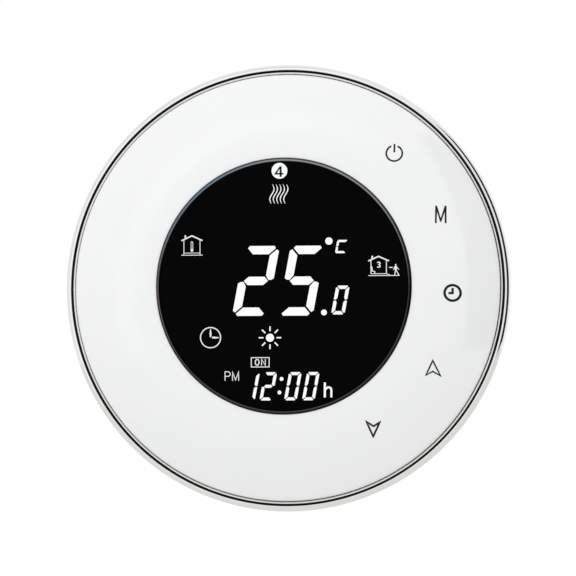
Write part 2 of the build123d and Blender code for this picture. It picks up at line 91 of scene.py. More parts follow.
def copyPiece(piece, shift=(0, 0, 0), turn=0.0):  # own mesh, moved, and turned about Y
    other = piece.copy()
    other.data = piece.data.copy()
    bpy.context.collection.objects.link(other)
    place = Matrix.Translation(Vector(shift)) @ Matrix.Rotation(turn, 4, "Y")
    other.data.transform(place)
    return other


def smooth(piece, degrees=35):
    makeActive(piece)
    bpy.ops.object.shade_smooth_by_angle(angle=math.radians(degrees))


def pickFaces(piece, wanted):  # leaves the piece in edit mode with just these faces selected
    makeActive(piece)
    bpy.ops.object.mode_set(mode="EDIT")
    bpy.ops.mesh.select_mode(type="FACE")
    bpy.ops.mesh.select_all(action="DESELECT")
    bpy.ops.object.mode_set(mode="OBJECT")
    for face in piece.data.polygons:
        face.select = wanted(face)
    bpy.ops.object.mode_set(mode="EDIT")


def finishPiece(piece, body, material, replaced=(), degrees=35):
    smooth(piece, degrees)
    piece.data.materials.clear()
    piece.data.materials.append(material)
    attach(piece, body)
    if replaced:
        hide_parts(*replaced)


slotOf = {part["node"]: part["material_slot"] for part in frame["record"]["subparts"]}


# ---- materials: helpers ----

def toLinear(hexColour):
    channels = []
    for start in (0, 2, 4):
        value = int(hexColour[start:start + 2], 16) / 255
        channels.append(value / 12.92 if value <= 0.04045 else ((value + 0.055) / 1.055) ** 2.4)
    return (*channels, 1.0)


def perMm(spacing):  # texture scale for a pattern that repeats at this many millimetres
    return 1 / (spacing * mm)


def addNode(tree, kind, settings=None, links=None):  # a node given as a source gives its first output
    node = tree.nodes.new("ShaderNode" + kind)
    for key, value in (settings or {}).items():
        if isinstance(key, int) or key in node.inputs:
            node.inputs[key].default_value = value
        else:
            setattr(node, key, value)
    for key, source in (links or {}).items():
        tree.links.new(getattr(source, "outputs", [source])[0], node.inputs[key])
    return node


def fillRamp(ramp, stops):
    elements = ramp.color_ramp.elements
    while len(elements) < len(stops):
        elements.new(0.5)
    for element, (position, tone) in zip(elements, stops):
        element.position = position
        element.color = toLinear(tone)


def newMaterial(name, settings):
    material = bpy.data.materials.new(name)
    material.use_nodes = True
    tree = material.node_tree
    shader = tree.nodes["Principled BSDF"]
    for key, value in settings.items():
        shader.inputs[key].default_value = value
    place = addNode(tree, "TexCoord").outputs["Object"]
    return material, tree, shader, place


# two tones that drift over the surface, a roughness that drifts with them, and a fine relief
def weather(tree, shader, place, tones, toneMm, rough, reliefMm, relief):
    drift = addNode(tree, "TexNoise", {"Scale": perMm(toneMm), "Detail": 4.0}, {"Vector": place})
    colour = addNode(tree, "MixRGB", {"Color1": toLinear(tones[0]), "Color2": toLinear(tones[1])},
                     {"Fac": drift})
    tree.links.new(colour.outputs["Color"], shader.inputs["Base Color"])
    gloss = addNode(tree, "MapRange", {"To Min": rough[0], "To Max": rough[1]},
                    {"Value": drift})
    tree.links.new(gloss.outputs["Result"], shader.inputs["Roughness"])
    grain = addNode(tree, "TexNoise", {"Scale": perMm(reliefMm), "Detail": 3.0}, {"Vector": place})
    bump = addNode(tree, "Bump", {"Strength": 1.0, "Distance": relief * mm},
                   {"Height": grain})
    tree.links.new(bump.outputs["Normal"], shader.inputs["Normal"])
    return colour


def plainFinish(name, settings, tones, toneMm, rough, reliefMm, relief):
    material, tree, shader, place = newMaterial(name, settings)
    weather(tree, shader, place, tones, toneMm, rough, reliefMm, relief)
    return material


# ---- materials: front ----

def chromePlate():  # bright chrome on ABS: mirror, with painted shade, near black, in the gap and the groove
    material, tree, shader, place = newMaterial("chromePlate", {"Metallic": 1.0})
    colour = weather(tree, shader, place, ("e9e8e6", "f3f3f2"), 9, (0.05, 0.10), 5.0, 0.004)
    flat = addNode(tree, "VectorMath", {"operation": "MULTIPLY", 1: (1.0, 0.0, 1.0)}, {0: place})
    radius = addNode(tree, "VectorMath", {"operation": "LENGTH"}, {0: flat})
    # painted shade: the base colour goes near black inside the gap and across the groove
    inGap = addNode(tree, "Math", {"operation": "LESS_THAN", 1: 50.28 * mm},
                    {0: radius.outputs["Value"]})
    fromGroove = addNode(tree, "Math", {"operation": "COMPARE", 1: 51.05 * mm, 2: 0.235 * mm},
                         {0: radius.outputs["Value"]})
    paintedGapShade = addNode(tree, "Math", {"operation": "MAXIMUM"},
                   {0: inGap, 1: fromGroove})
    shade = addNode(tree, "MixRGB", {"Color2": toLinear("121214")},
                    {"Fac": paintedGapShade, "Color1": colour.outputs["Color"]})
    tree.links.new(shade.outputs["Color"], shader.inputs["Base Color"])
    return material


def anodisedTrim():  # anodised aluminium, lathe-turned: its tone fans from grey-blue to nearly black around the ring as painted highlights and painted shade, with a painted highlight along the crest
    material, tree, shader, place = newMaterial("anodisedTrim", {"Metallic": 1.0})
    colour = weather(tree, shader, place, ("d8dadc", "ffffff"), 6, (0.2, 0.3), 0.5, 0.002)
    axes = addNode(tree, "SeparateXYZ", {}, {0: place})
    flat = addNode(tree, "CombineXYZ", {}, {"X": axes.outputs["X"], "Y": axes.outputs["Z"]})
    around = addNode(tree, "TexGradient", {"gradient_type": "RADIAL"}, {"Vector": flat.outputs["Vector"]})
    # painted highlights and painted shade: the tone around the ring follows where light and shade fall
    paintedFanLight = addNode(tree, "ValToRGB", {}, {"Fac": around.outputs["Fac"]})
    fillRamp(paintedFanLight, ((0.0, "7d746d"), (0.12, "4a4b50"), (0.25, "45474c"), (0.5, "3e4045"), (0.62, "9a9c9e"),
                   (0.75, "a3a6a8"), (0.86, "7d91a3"), (1.0, "7d746d")))
    reach = addNode(tree, "VectorMath", {"operation": "LENGTH"}, {0: flat.outputs["Vector"]})
    # painted highlight along the crest, with painted shade on the flanks inside and outside it
    across = addNode(tree, "MapRange", {"From Min": 29.1 * mm, "From Max": 30.1 * mm},
                     {"Value": reach.outputs["Value"]})
    paintedCrestHighlight = addNode(tree, "ValToRGB", {}, {"Fac": across})
    fillRamp(paintedCrestHighlight, ((0.0, "303030"), (0.2, "404040"), (0.3, "ffffff"), (0.55, "ffffff"), (0.68, "808080"),
                    (1.0, "707070")))
    # the painted light and shade together are laid over the metal's own tone
    dark = addNode(tree, "VectorMath", {"operation": "MULTIPLY"},
                   {0: paintedFanLight, 1: paintedCrestHighlight})
    tone = addNode(tree, "VectorMath", {"operation": "MULTIPLY"},
                   {0: dark, 1: colour.outputs["Color"]})
    tree.links.new(tone.outputs["Vector"], shader.inputs["Base Color"])
    return material


def litSegment(name, spreadMm, tones):  # backlit LCD segment: white light with a trace of the lamp's spread
    material, tree, shader, place = newMaterial(name, {"Roughness": 0.4, "Emission Strength": 1.0,
                                                "Base Color": toLinear("1c1d1e"), "Specular IOR Level": 0.05})
    spread = addNode(tree, "TexNoise", {"Scale": perMm(spreadMm)}, {"Vector": place})
    colour = addNode(tree, "MixRGB", {"Color1": toLinear(tones[0]), "Color2": toLinear(tones[1])},
                     {"Fac": spread})
    tree.links.new(colour.outputs["Color"], shader.inputs["Emission Color"])
    return material


# ABS from a mirror-polished tool: deep gloss with a faint orange peel
polishedWhite = plainFinish("polishedWhiteAbs", {"IOR": 1.54, "Coat Weight": 0.4, "Coat Roughness": 0.03,
                                                 "Subsurface Weight": 0.05, "Subsurface Scale": 0.0008},
                            ("f1f2f3", "f5f6f7"), 22, (0.10, 0.16), 2.6, 0.004)
# ABS from a spark-eroded tool: satin, with a fine pebble grain
sparkedWhite = plainFinish("sparkedWhiteAbs", {"IOR": 1.54},
                           ("e9e9e6", "f0f0ee"), 14, (0.42, 0.55), 0.35, 0.02)
chrome = chromePlate()
# coated glass, back-printed black: hardly reflects, with faint smudges in its gloss
blackGlassFace = plainFinish("blackGlass", {"IOR": 1.5, "Specular IOR Level": 0.03},
                             ("000000", "010102"), 12, (0.04, 0.09), 6.0, 0.001)
trimFinish = anodisedTrim()
# EPDM cord: dull black, faintly dusty
rubber = plainFinish("blackRubber", {"IOR": 1.5, "Specular IOR Level": 0.2},
                     ("030303", "080809"), 5, (0.7, 0.85), 0.3, 0.004)
litWhite = litSegment("litSegment", 9, ("fafcff", "ffffff"))
litDim = litSegment("dimSegment", 3, ("dde1e3", "f8f9fa"))  # the thin lines, a little dimmer
# screen-printed ink: nearly black, slightly matt against the gloss, with a grainy edge
ink = plainFinish("darkInk", {"IOR": 1.5, "Specular IOR Level": 0.2},
                  ("08090b", "141518"), 1.5, (0.35, 0.5), 0.2, 0.002)
print("front materials made")


# ---- materials: inside and back ----

def zincSteel():  # zinc-plated screw steel: bluish silver with straw-coloured passivation clouds
    material, tree, shader, place = newMaterial("zincSteel", {"Metallic": 1.0})
    colour = weather(tree, shader, place, ("a9b2ba", "c3c8cc"), 1.6, (0.24, 0.4), 0.25, 0.004)
    cloud = addNode(tree, "TexNoise", {"Scale": perMm(2.4), "Detail": 2.0}, {"Vector": place})
    where = addNode(tree, "MapRange", {"From Min": 0.55, "From Max": 0.75, "To Max": 0.5},
                    {"Value": cloud})
    shade = addNode(tree, "MixRGB", {"Color2": toLinear("c9b98c")},
                    {"Fac": where, "Color1": colour.outputs["Color"]})
    tree.links.new(shade.outputs["Color"], shader.inputs["Base Color"])
    return material


def acrylicGuide():  # milky acrylic with a printed grid of white dots that throw the light forward
    material, tree, shader, place = newMaterial("acrylicGuide", {"IOR": 1.49, "Transmission Weight": 0.35})
    colour = weather(tree, shader, place, ("e6ebee", "f2f5f6"), 12, (0.15, 0.25), 2.0, 0.002)
    dots = addNode(tree, "TexVoronoi", {"Scale": perMm(1.2), "Randomness": 0.0}, {"Vector": place})
    where = addNode(tree, "Math", {"operation": "LESS_THAN", 1: 0.25}, {0: dots})
    shade = addNode(tree, "MixRGB", {"Color2": toLinear("ffffff")},
                    {"Fac": where, "Color1": colour.outputs["Color"]})
    tree.links.new(shade.outputs["Color"], shader.inputs["Base Color"])
    return material


def solderMask():  # green lacquer over copper: glossy, lighter where the tracks run beneath it
    material, tree, shader, place = newMaterial("solderMask", {"IOR": 1.55, "Coat Weight": 0.3,
                                                "Coat Roughness": 0.1})
    colour = weather(tree, shader, place, ("0f4a2a", "14552f"), 15, (0.22, 0.36), 0.5, 0.004)
    flat = addNode(tree, "VectorMath", {"operation": "MULTIPLY", 1: (1.0, 0.0, 1.0)}, {0: place})
    cells = addNode(tree, "TexVoronoi", {"distance": "CHEBYCHEV", "Scale": perMm(13)},
                    {"Vector": flat})
    nested = addNode(tree, "Math", {"operation": "MULTIPLY", 1: 11.0}, {0: cells})
    part = addNode(tree, "Math", {"operation": "FRACT"}, {0: nested})
    tracks = addNode(tree, "Math", {"operation": "GREATER_THAN", 1: 0.7}, {0: part})
    shade = addNode(tree, "MixRGB", {"Color2": toLinear("226b3a")},
                    {"Fac": tracks, "Color1": colour.outputs["Color"]})
    tree.links.new(shade.outputs["Color"], shader.inputs["Base Color"])
    return material


def mouldedEpoxy():  # chip and connector mould compound: charcoal, dull, speckled with silica
    material, tree, shader, place = newMaterial("mouldedEpoxy", {"IOR": 1.52})
    colour = weather(tree, shader, place, ("131416", "1d1e20"), 4, (0.5, 0.68), 0.2, 0.01)
    speck = addNode(tree, "TexVoronoi", {"Scale": perMm(0.4)}, {"Vector": place})
    where = addNode(tree, "Math", {"operation": "LESS_THAN", 1: 0.12}, {0: speck})
    shade = addNode(tree, "MixRGB", {"Color2": toLinear("3a3c3f")},
                    {"Fac": where, "Color1": colour.outputs["Color"]})
    tree.links.new(shade.outputs["Color"], shader.inputs["Base Color"])
    return material


# the wire is 0.1 mm thick, too fine to show, so its turns are drawn 0.45 mm apart
def enamelCopper():  # enamelled copper: red-brown, with painted shine on each turn and painted shade between the turns
    material, tree, shader, place = newMaterial("enamelCopper", {"Metallic": 1.0, "Coat Weight": 0.5})
    colour = weather(tree, shader, place, ("9a4a25", "b8633a"), 2.5, (0.2, 0.32), 0.3, 0.003)
    turns = addNode(tree, "TexWave", {"bands_direction": "Z", "Scale": perMm(0.45) * 0.05,
                    "Distortion": 0.4}, {"Vector": place})
    # painted shade: the colour falls to dark brown between turns, where the round wires shade each other
    shade = addNode(tree, "MixRGB", {"Color1": toLinear("5e2912")},
                    {"Fac": turns.outputs["Fac"], "Color2": colour.outputs["Color"]})
    tree.links.new(shade.outputs["Color"], shader.inputs["Base Color"])
    relief = addNode(tree, "Bump", {"Distance": 0.06 * mm}, {"Height": turns.outputs["Fac"]})
    tree.links.new(relief.outputs["Normal"], shader.inputs["Normal"])
    return material


def polyesterTape():  # yellow winding tape: glossy film, a darker edge where one lap ends on the next
    material, tree, shader, place = newMaterial("polyesterTape", {"IOR": 1.57, "Coat Weight": 0.4})
    colour = weather(tree, shader, place, ("d9b321", "e6c53d"), 4, (0.15, 0.3), 1.2, 0.02)
    laps = addNode(tree, "TexWave", {"bands_direction": "Z", "wave_profile": "SAW",
                   "Scale": perMm(3) * 0.05}, {"Vector": place})
    edge = addNode(tree, "Math", {"operation": "GREATER_THAN", 1: 0.9}, {0: laps.outputs["Fac"]})
    shade = addNode(tree, "MixRGB", {"Color2": toLinear("a9820f")},
                    {"Fac": edge, "Color1": colour.outputs["Color"]})
    tree.links.new(shade.outputs["Color"], shader.inputs["Base Color"])
    return material


def capacitorSleeve():  # shrink-on PVC sleeve: near black, soft gloss, with the pale pole stripe
    material, tree, shader, place = newMaterial("capacitorSleeve", {"IOR": 1.53, "Coat Weight": 0.2})
    colour = weather(tree, shader, place, ("15171c", "1d2027"), 5, (0.28, 0.42), 0.8, 0.01)
    axes = addNode(tree, "SeparateXYZ", {}, {0: place})
    stripe = addNode(tree, "Math", {"operation": "GREATER_THAN", 1: 18.3 * mm}, {0: axes.outputs["Z"]})
    shade = addNode(tree, "MixRGB", {"Color2": toLinear("9ba0a6")},
                    {"Fac": stripe, "Color1": colour.outputs["Color"]})
    tree.links.new(shade.outputs["Color"], shader.inputs["Base Color"])
    return material


def terminalPa():  # terminal block: green polyamide, satin, paler along the flow of the mould
    material, tree, shader, place = newMaterial("terminalPa", {"IOR": 1.53})
    colour = weather(tree, shader, place, ("1d7a3e", "268a49"), 7, (0.34, 0.48), 0.45, 0.015)
    flow = addNode(tree, "TexWave", {"bands_direction": "X", "Scale": perMm(6.2) * 0.05,
                   "Distortion": 2.0}, {"Vector": place})
    amount = addNode(tree, "Math", {"operation": "MULTIPLY", 1: 0.18}, {0: flow.outputs["Fac"]})
    shade = addNode(tree, "MixRGB", {"Color2": toLinear("3f9d60")},
                    {"Fac": amount, "Color1": colour.outputs["Color"]})
    tree.links.new(shade.outputs["Color"], shader.inputs["Base Color"])
    return material


# flame-retardant polycarbonate, spark-eroded: charcoal and matt, the pebble catching light
blackPc = plainFinish("blackPc", {"IOR": 1.58}, ("17181a", "202124"), 16, (0.48, 0.62), 0.4, 0.03)
# thin float glass of the LCD: clear, with a breath of green and a dead flat face
floatGlass = plainFinish("floatGlass", {"IOR": 1.52, "Transmission Weight": 0.85},
                         ("dfe9e4", "ebf2ee"), 18, (0.01, 0.04), 9.0, 0.0005)
# white LED: phosphor gel, yellow-green where it is thick
lampResin = plainFinish("lampResin", {"IOR": 1.5, "Subsurface Weight": 0.2, "Subsurface Scale": 0.0005},
                        ("e9e3b4", "f4f2dc"), 1.2, (0.2, 0.35), 0.3, 0.005)
# bare spring steel wire: dark blue-grey from tempering, with drawing lines
springWire = plainFinish("springWire", {"Metallic": 1.0},
                         ("8d9298", "a7abb0"), 2.0, (0.25, 0.38), 0.15, 0.004)
# nickel: warm grey mirror, slightly clouded where fingers were
nickelPlate = plainFinish("nickelPlate", {"Metallic": 1.0},
                          ("b5b0a6", "c9c5bc"), 3.5, (0.16, 0.32), 0.6, 0.002)
# sensor bead: dark brown resin, glossy and slightly lumpy from dipping
dippedEpoxy = plainFinish("dippedEpoxy", {"IOR": 1.55, "Coat Weight": 0.3},
                          ("2a1a12", "38241a"), 1.0, (0.12, 0.25), 1.0, 0.03)
# brass strip: yellow, with a browner film where it has been handled
rolledBrass = plainFinish("rolledBrass", {"Metallic": 1.0},
                          ("b5903f", "cfae62"), 2.2, (0.2, 0.38), 0.4, 0.004)
# ferrite: dark grey ceramic, dull, with small chipped pits
sinteredFerrite = plainFinish("sinteredFerrite", {"IOR": 2.0, "Specular IOR Level": 0.3},
                              ("2b2c2f", "393a3d"), 2.5, (0.5, 0.7), 0.5, 0.05)
# relay cover: blue PBT, semi-gloss, with a soft cloudiness from the fill
relayPbt = plainFinish("relayPbt", {"IOR": 1.55}, ("1c56a8", "2463b8"), 9, (0.22, 0.34), 1.0, 0.008)
# film capacitor's box: yellow PBT with flow marks round the resin end
filmBox = plainFinish("filmBox", {"IOR": 1.55}, ("d8a520", "e5b935"), 6, (0.32, 0.45), 0.8, 0.012)
# varistor's epoxy coat: blue powder coat with a lumpy orange peel
powderBlue = plainFinish("powderBlue", {"IOR": 1.56, "Coat Weight": 0.2},
                         ("174a8c", "215aa3"), 3, (0.25, 0.42), 1.1, 0.05)
# fuse cover: dark warm-grey PBT, satin, slightly mottled
fuseBody = plainFinish("fuseBody", {"IOR": 1.55}, ("4d4a47", "5c5854"), 3, (0.35, 0.5), 0.5, 0.012)
# relay iron: annealed and thinly nickelled, grey with a fine even grain
annealedIron = plainFinish("annealedIron", {"Metallic": 1.0},
                           ("7f8183", "989a9b"), 2.0, (0.35, 0.5), 0.25, 0.006)
# silver alloy rivet and its spring: bright white metal with a trace of tarnish
contactSilver = plainFinish("contactSilver", {"Metallic": 1.0},
                            ("cdc7b8", "e9e7e2"), 1.5, (0.15, 0.3), 0.3, 0.003)

finishes = {"white_gloss": polishedWhite, "white_satin": sparkedWhite, "black_plastic": blackPc,
            "display_black": blackGlassFace, "trim_metal": trimFinish, "chrome": chrome, "black_rubber": rubber,
            "zinc_steel": zincSteel(), "clear_glass": floatGlass, "light_guide": acrylicGuide(),
            "lamp_white": lampResin, "board_green": solderMask(), "spring_steel": springWire,
            "chip_black": mouldedEpoxy(), "nickel": nickelPlate, "resin": dippedEpoxy, "brass": rolledBrass,
            "copper": enamelCopper(), "ferrite": sinteredFerrite, "yellow_tape": polyesterTape(),
            "relay_blue": relayPbt, "capacitor_sleeve": capacitorSleeve(), "film_yellow": filmBox,
            "varistor_blue": powderBlue, "fuse_grey": fuseBody, "terminal_green": terminalPa(),
            "soft_iron": annealedIron, "silver": contactSilver}
# white pad-printed paint on the terminal block, worn thin in places
paint = plainFinish("numberPaint", {"IOR": 1.5}, ("d9dad6", "efefec"), 0.6, (0.45, 0.6), 0.2, 0.004)
print("inner materials made")


# ---- turned pieces: rings extruded along a profile of radius and depth ----

def arcPoints(centre, radius, fromDegrees, toDegrees, steps):  # angle 0 faces the front, 90 outwards
    points = []
    for step in range(steps + 1):
        angle = math.radians(fromDegrees + (toDegrees - fromDegrees) * step / steps)
        points.append((centre[0] + radius * math.sin(angle), centre[1] - radius * math.cos(angle)))
    return points


def turnProfile(name, profile, segments=192, closed=True):
    deselectAll()
    startR, startY = profile[0]
    bpy.ops.mesh.primitive_circle_add(vertices=segments, radius=startR, location=(0, startY, 0),
                                      rotation=(math.pi / 2, 0, 0))
    piece = nameLast(name)
    applyPlace(piece)
    bpy.ops.object.mode_set(mode="EDIT")
    bpy.ops.mesh.select_mode(type="VERT")
    bpy.ops.mesh.select_all(action="SELECT")
    lastR, lastY = startR, startY
    for nextR, nextY in profile[1:]:
        bpy.ops.mesh.extrude_region_move(TRANSFORM_OT_translate={"value": (0, nextY - lastY, 0)})
        bpy.ops.transform.resize(value=(nextR / lastR, 1, nextR / lastR), center_override=(0, nextY, 0))
        lastR, lastY = nextR, nextY
    if closed:
        bpy.ops.object.mode_set(mode="OBJECT")
        for edge in piece.data.edges:
            edge.select = False
        closeEnds(piece, profile)
    else:
        bpy.ops.mesh.edge_face_add()
        bpy.ops.mesh.inset(thickness=lastR * 0.5)
    bpy.ops.mesh.select_all(action="SELECT")
    bpy.ops.mesh.normals_make_consistent(inside=False)
    bpy.ops.object.mode_set(mode="OBJECT")
    return piece


def closeEnds(piece, profile):  # bridges the last ring back to the first
    ends = (profile[0], profile[-1])
    for vertex in piece.data.vertices:
        radius = math.hypot(vertex.co.x, vertex.co.z)
        vertex.select = any(abs(radius - r) < 1e-6 and abs(vertex.co.y - y) < 1e-6 for r, y in ends)
    bpy.ops.object.mode_set(mode="EDIT")
    bpy.ops.mesh.select_mode(type="VERT")
    bpy.ops.mesh.select_mode(type="EDGE")
    bpy.ops.mesh.bridge_edge_loops()


# ---- the domed face ----

dome = {"sectionR": 40 * mm, "lipSlope": 4.0, "wall": 1.8 * mm, "skirtWall": 1.6 * mm,
        "bossR": 2.4 * mm, "bossHoleR": 1.0 * mm, "bossRing": 43.5 * mm, "bossAngles": (75, 165, 255, 345),
        "bossLength": 3.8 * mm, "bossHoleDepth": 3.2 * mm,
        "skirtWider": 0.13 * mm, "lipWider": 0.95 * mm}

domeLow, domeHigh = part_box("face_dome")
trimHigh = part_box("display_trim_ring")[1]
glassLow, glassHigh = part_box("display_glass")
ringLow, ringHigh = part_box("chrome_ring")
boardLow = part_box("control_board")[0]
skirtR = domeHigh[0] + dome["skirtWider"]
lipR = glassHigh[0] + dome["lipWider"]
lipY = domeLow[1]
domeCentre = (lipR - dome["sectionR"] * math.sin(math.radians(dome["lipSlope"])),
              lipY + dome["sectionR"] * math.cos(math.radians(dome["lipSlope"])))


def domeSurfaceY(radius, depth=0.0):
    across = radius - domeCentre[0]
    return domeCentre[1] - math.sqrt((dome["sectionR"] - depth) ** 2 - across ** 2)


def domeSlope(radius, depth=0.0):
    return math.degrees(math.asin((radius - domeCentre[0]) / (dome["sectionR"] - depth)))


def makeDome():
    innerR = skirtR - dome["skirtWall"]
    backY = domeHigh[1]
    outerSlope = domeSlope(skirtR - 0.55 * mm)
    outside = arcPoints(domeCentre, dome["sectionR"], dome["lipSlope"] + 0.35, outerSlope, 40)
    lip = [(lipR, lipY + 0.25 * mm), (lipR + 0.08 * mm, lipY + 0.06 * mm)]
    edgeY = domeSurfaceY(skirtR)
    edge = [(skirtR - 0.22 * mm, edgeY + 0.02 * mm), (skirtR - 0.05 * mm, edgeY + 0.25 * mm),
            (skirtR, edgeY + 0.6 * mm)]
    skirt = [(skirtR, backY - 1 * mm), (skirtR, backY), (innerR, backY), (innerR, backY - 1 * mm)]
    inner = arcPoints(domeCentre, dome["sectionR"] - dome["wall"], domeSlope(innerR, dome["wall"]),
                      domeSlope(lipR, dome["wall"]), 24)
    shell = turnProfile("domedFace", lip + outside + edge + skirt + inner, 256)
    bosses = []
    for angle in dome["bossAngles"]:
        x = dome["bossRing"] * math.cos(math.radians(angle))
        z = dome["bossRing"] * math.sin(math.radians(angle))
        bosses.append(makeBoss(x, z))
    return joinPieces("domedFace", [shell] + bosses)


def makeBoss(x, z):  # a moulded screw boss under the dome, hollow from behind
    length = dome["bossLength"]
    deselectAll()
    bpy.ops.mesh.primitive_cylinder_add(vertices=32, radius=dome["bossR"], depth=length,
                                        location=(x, boardLow[1] - length / 2, z), rotation=(math.pi / 2, 0, 0))
    boss = nameLast("boss")
    applyPlace(boss)
    pickFaces(boss, lambda face: face.normal.y > 0.9)
    bpy.ops.mesh.inset(thickness=dome["bossR"] - dome["bossHoleR"])
    bpy.ops.mesh.extrude_region_move(TRANSFORM_OT_translate={"value": (0, -dome["bossHoleDepth"], 0)})
    bpy.ops.object.mode_set(mode="OBJECT")
    return boss


domedFace = makeDome()
finishPiece(domedFace, "front_unit", polishedWhite, ["face_dome"], 30)
print("domed face made")


# ---- the chrome rim, its black line, and the display's trim ----

rim = {"beadR": 0.3 * mm, "beadMid": 50.55 * mm, "beadSunk": 0.22 * mm, "grooveIn": 50.83 * mm,
       "grooveOut": 51.27 * mm, "grooveDeep": 1.0 * mm, "lipSunk": 0.05 * mm, "cordSunk": 0.22 * mm,
       "cordFit": 0.005 * mm, "innerR": 50.27 * mm, "flatR": 52.1 * mm,
       "crownIn": 51.3 * mm, "crownHigh": 1.4 * mm}


def makeRim():
    outR = ringHigh[0]
    backY = ringHigh[1]
    frontY = ringLow[1]
    floorY = frontY + rim["grooveDeep"]
    bead = arcPoints((rim["beadMid"], frontY + rim["beadSunk"] + rim["beadR"]), rim["beadR"], 85, -85, 12)
    crown = []
    for step in range(21):
        turn = math.radians(90 * step / 20)
        crown.append((rim["crownIn"] + (outR - rim["crownIn"]) * math.cos(turn),
                      frontY + rim["crownHigh"] - rim["crownHigh"] * math.sin(turn)))
    outline = [(rim["innerR"], backY), (rim["flatR"], backY), (outR - 0.12 * mm, backY - 0.35 * mm),
               (outR, backY - 0.6 * mm)]
    groove = [(rim["grooveOut"], frontY + rim["lipSunk"]), (rim["grooveOut"], floorY),
              (rim["grooveIn"], floorY)]
    profile = outline + crown + groove + bead
    return turnProfile("chromeRim", profile, 256)


def makeGasket():
    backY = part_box("rim_gasket")[1][1]
    middle = (rim["grooveIn"] + rim["grooveOut"]) / 2
    half = (rim["grooveOut"] - rim["grooveIn"]) / 2 - rim["cordFit"]
    top = arcPoints((middle, ringLow[1] + rim["cordSunk"] + half), half, -90, 90, 8)
    profile = top + [(middle + half, backY), (middle - half, backY)]
    return turnProfile("rimGasket", profile, 192)


# crest: out from the glass and forward of the dome's lip, in mm
trim = {"crest": ((0.04, 0.12), (0.1, 0.2), (0.42, 0.42), (0.5, 0.44), (0.58, 0.4)), "outerIn": 1.4 * mm,
        "flange": 0.6 * mm, "under": 0.3 * mm}


def makeTrim():
    glassR = glassHigh[0]
    outR = trimHigh[0] - trim["outerIn"]
    flangeY = trimHigh[1] - trim["flange"]
    profile = [(glassR + out * mm, lipY - forward * mm) for out, forward in trim["crest"]]
    besideGlass = profile[0][0]
    profile += [(outR - 0.06 * mm, lipY - 0.12 * mm), (outR, lipY - 0.04 * mm), (outR, flangeY),
                (trimHigh[0], flangeY), (trimHigh[0], trimHigh[1]), (glassR - trim["under"], trimHigh[1]),
                (glassR - trim["under"], glassHigh[1]), (besideGlass, glassHigh[1])]
    return turnProfile("displayTrim", profile, 256)


glass = {"bevel": 0.16 * mm, "bevelMid": 0.04 * mm, "backBevel": 0.1 * mm}


def makeGlass():
    radius = glassHigh[0]
    profile = [(radius - glass["bevel"], glassLow[1]),
               (radius - glass["bevelMid"], glassLow[1] + glass["bevelMid"]),
               (radius, glassLow[1] + glass["bevel"]), (radius, glassHigh[1] - glass["backBevel"]),
               (radius - glass["backBevel"], glassHigh[1])]
    piece = turnProfile("displayGlass", profile, 256, closed=False)
    makeActive(piece)
    for vertex in piece.data.vertices:
        vertex.select = abs(vertex.co.y - glassLow[1]) < 1e-7
    bpy.ops.object.mode_set(mode="EDIT")
    bpy.ops.mesh.select_mode(type="VERT")
    bpy.ops.mesh.edge_face_add()
    bpy.ops.mesh.select_all(action="SELECT")
    bpy.ops.mesh.normals_make_consistent(inside=False)
    bpy.ops.object.mode_set(mode="OBJECT")
    return piece


finishPiece(makeRim(), "front_unit", chrome, ["chrome_ring"], 40)
finishPiece(makeGasket(), "front_unit", rubber, ["rim_gasket"], 60)
finishPiece(makeTrim(), "front_unit", trimFinish, ["display_trim_ring"], 20)
finishPiece(makeGlass(), "front_unit", blackGlassFace, ["display_glass"], 20)
print("rim, gasket, trim and glass made")


# ---- marks: filled shapes, lines and numbers, in millimetres from the display's centre ----

marks = {"thick": 0.03 * mm, "gap": 0.01 * mm, "slant": 10.6}


def drawShapes(name, outlines):  # closed outlines as one flat curve, then a mesh
    curve = bpy.data.curves.new(name, "CURVE")
    curve.dimensions = "2D"
    curve.fill_mode = "BOTH"
    curve.extrude = marks["thick"] / 2
    for outline in outlines:
        spline = curve.splines.new("POLY")
        spline.points.add(len(outline) - 1)
        for point, (x, z) in zip(spline.points, outline):
            point.co = (x * mm, z * mm, 0, 1)
        spline.use_cyclic_u = True
    return curveToMesh(name, curve)


def finePoints(points, widths, closes=False, step=0.9):  # adds points along straight runs, for the curved face
    if not isinstance(widths, (list, tuple)):
        widths = [widths] * len(points)
    runs = list(zip(points, widths)) + ([(points[0], widths[0])] if closes else [])
    fine = []
    for (start, startW), (end, endW) in zip(runs, runs[1:]):
        pieces = max(1, int(math.dist(start, end) / step))
        for index in range(pieces):
            part = index / pieces
            fine.append((start[0] + (end[0] - start[0]) * part, start[1] + (end[1] - start[1]) * part,
                         startW + (endW - startW) * part))
    if not closes:
        fine.append((*points[-1], widths[-1]))
    return fine


def strokeOutlines(points, widths, closes=False):  # both sides of a line of this width, with mitred corners
    fine = finePoints(points, widths, closes)
    count = len(fine)
    left, right = [], []
    for index, (x, z, width) in enumerate(fine):
        before = fine[index - 1] if index or closes else None
        after = fine[(index + 1) % count] if index < count - 1 or closes else None
        sides = []
        for start, end in ((before, fine[index]), (fine[index], after)):
            if start and end:
                sides.append(Vector((start[1] - end[1], end[0] - start[0])).normalized())
        across = sum(sides, Vector((0, 0))).normalized()
        reach = width / 2 / max(0.45, across.dot(sides[0]))
        left.append((x + across.x * reach, z + across.y * reach))
        right.append((x - across.x * reach, z - across.y * reach))
    return [left, right] if closes else [left + right[::-1]]


def drawLines(name, lines):  # each line is its points, its width or widths, and True if it closes
    return joinPieces(name, [drawShapes(name, strokeOutlines(*line)) for line in lines])


def curveToMesh(name, curve):
    piece = bpy.data.objects.new(name, curve)
    bpy.context.collection.objects.link(piece)
    makeActive(piece)
    bpy.ops.object.convert(target="MESH")
    return nameLast(name)


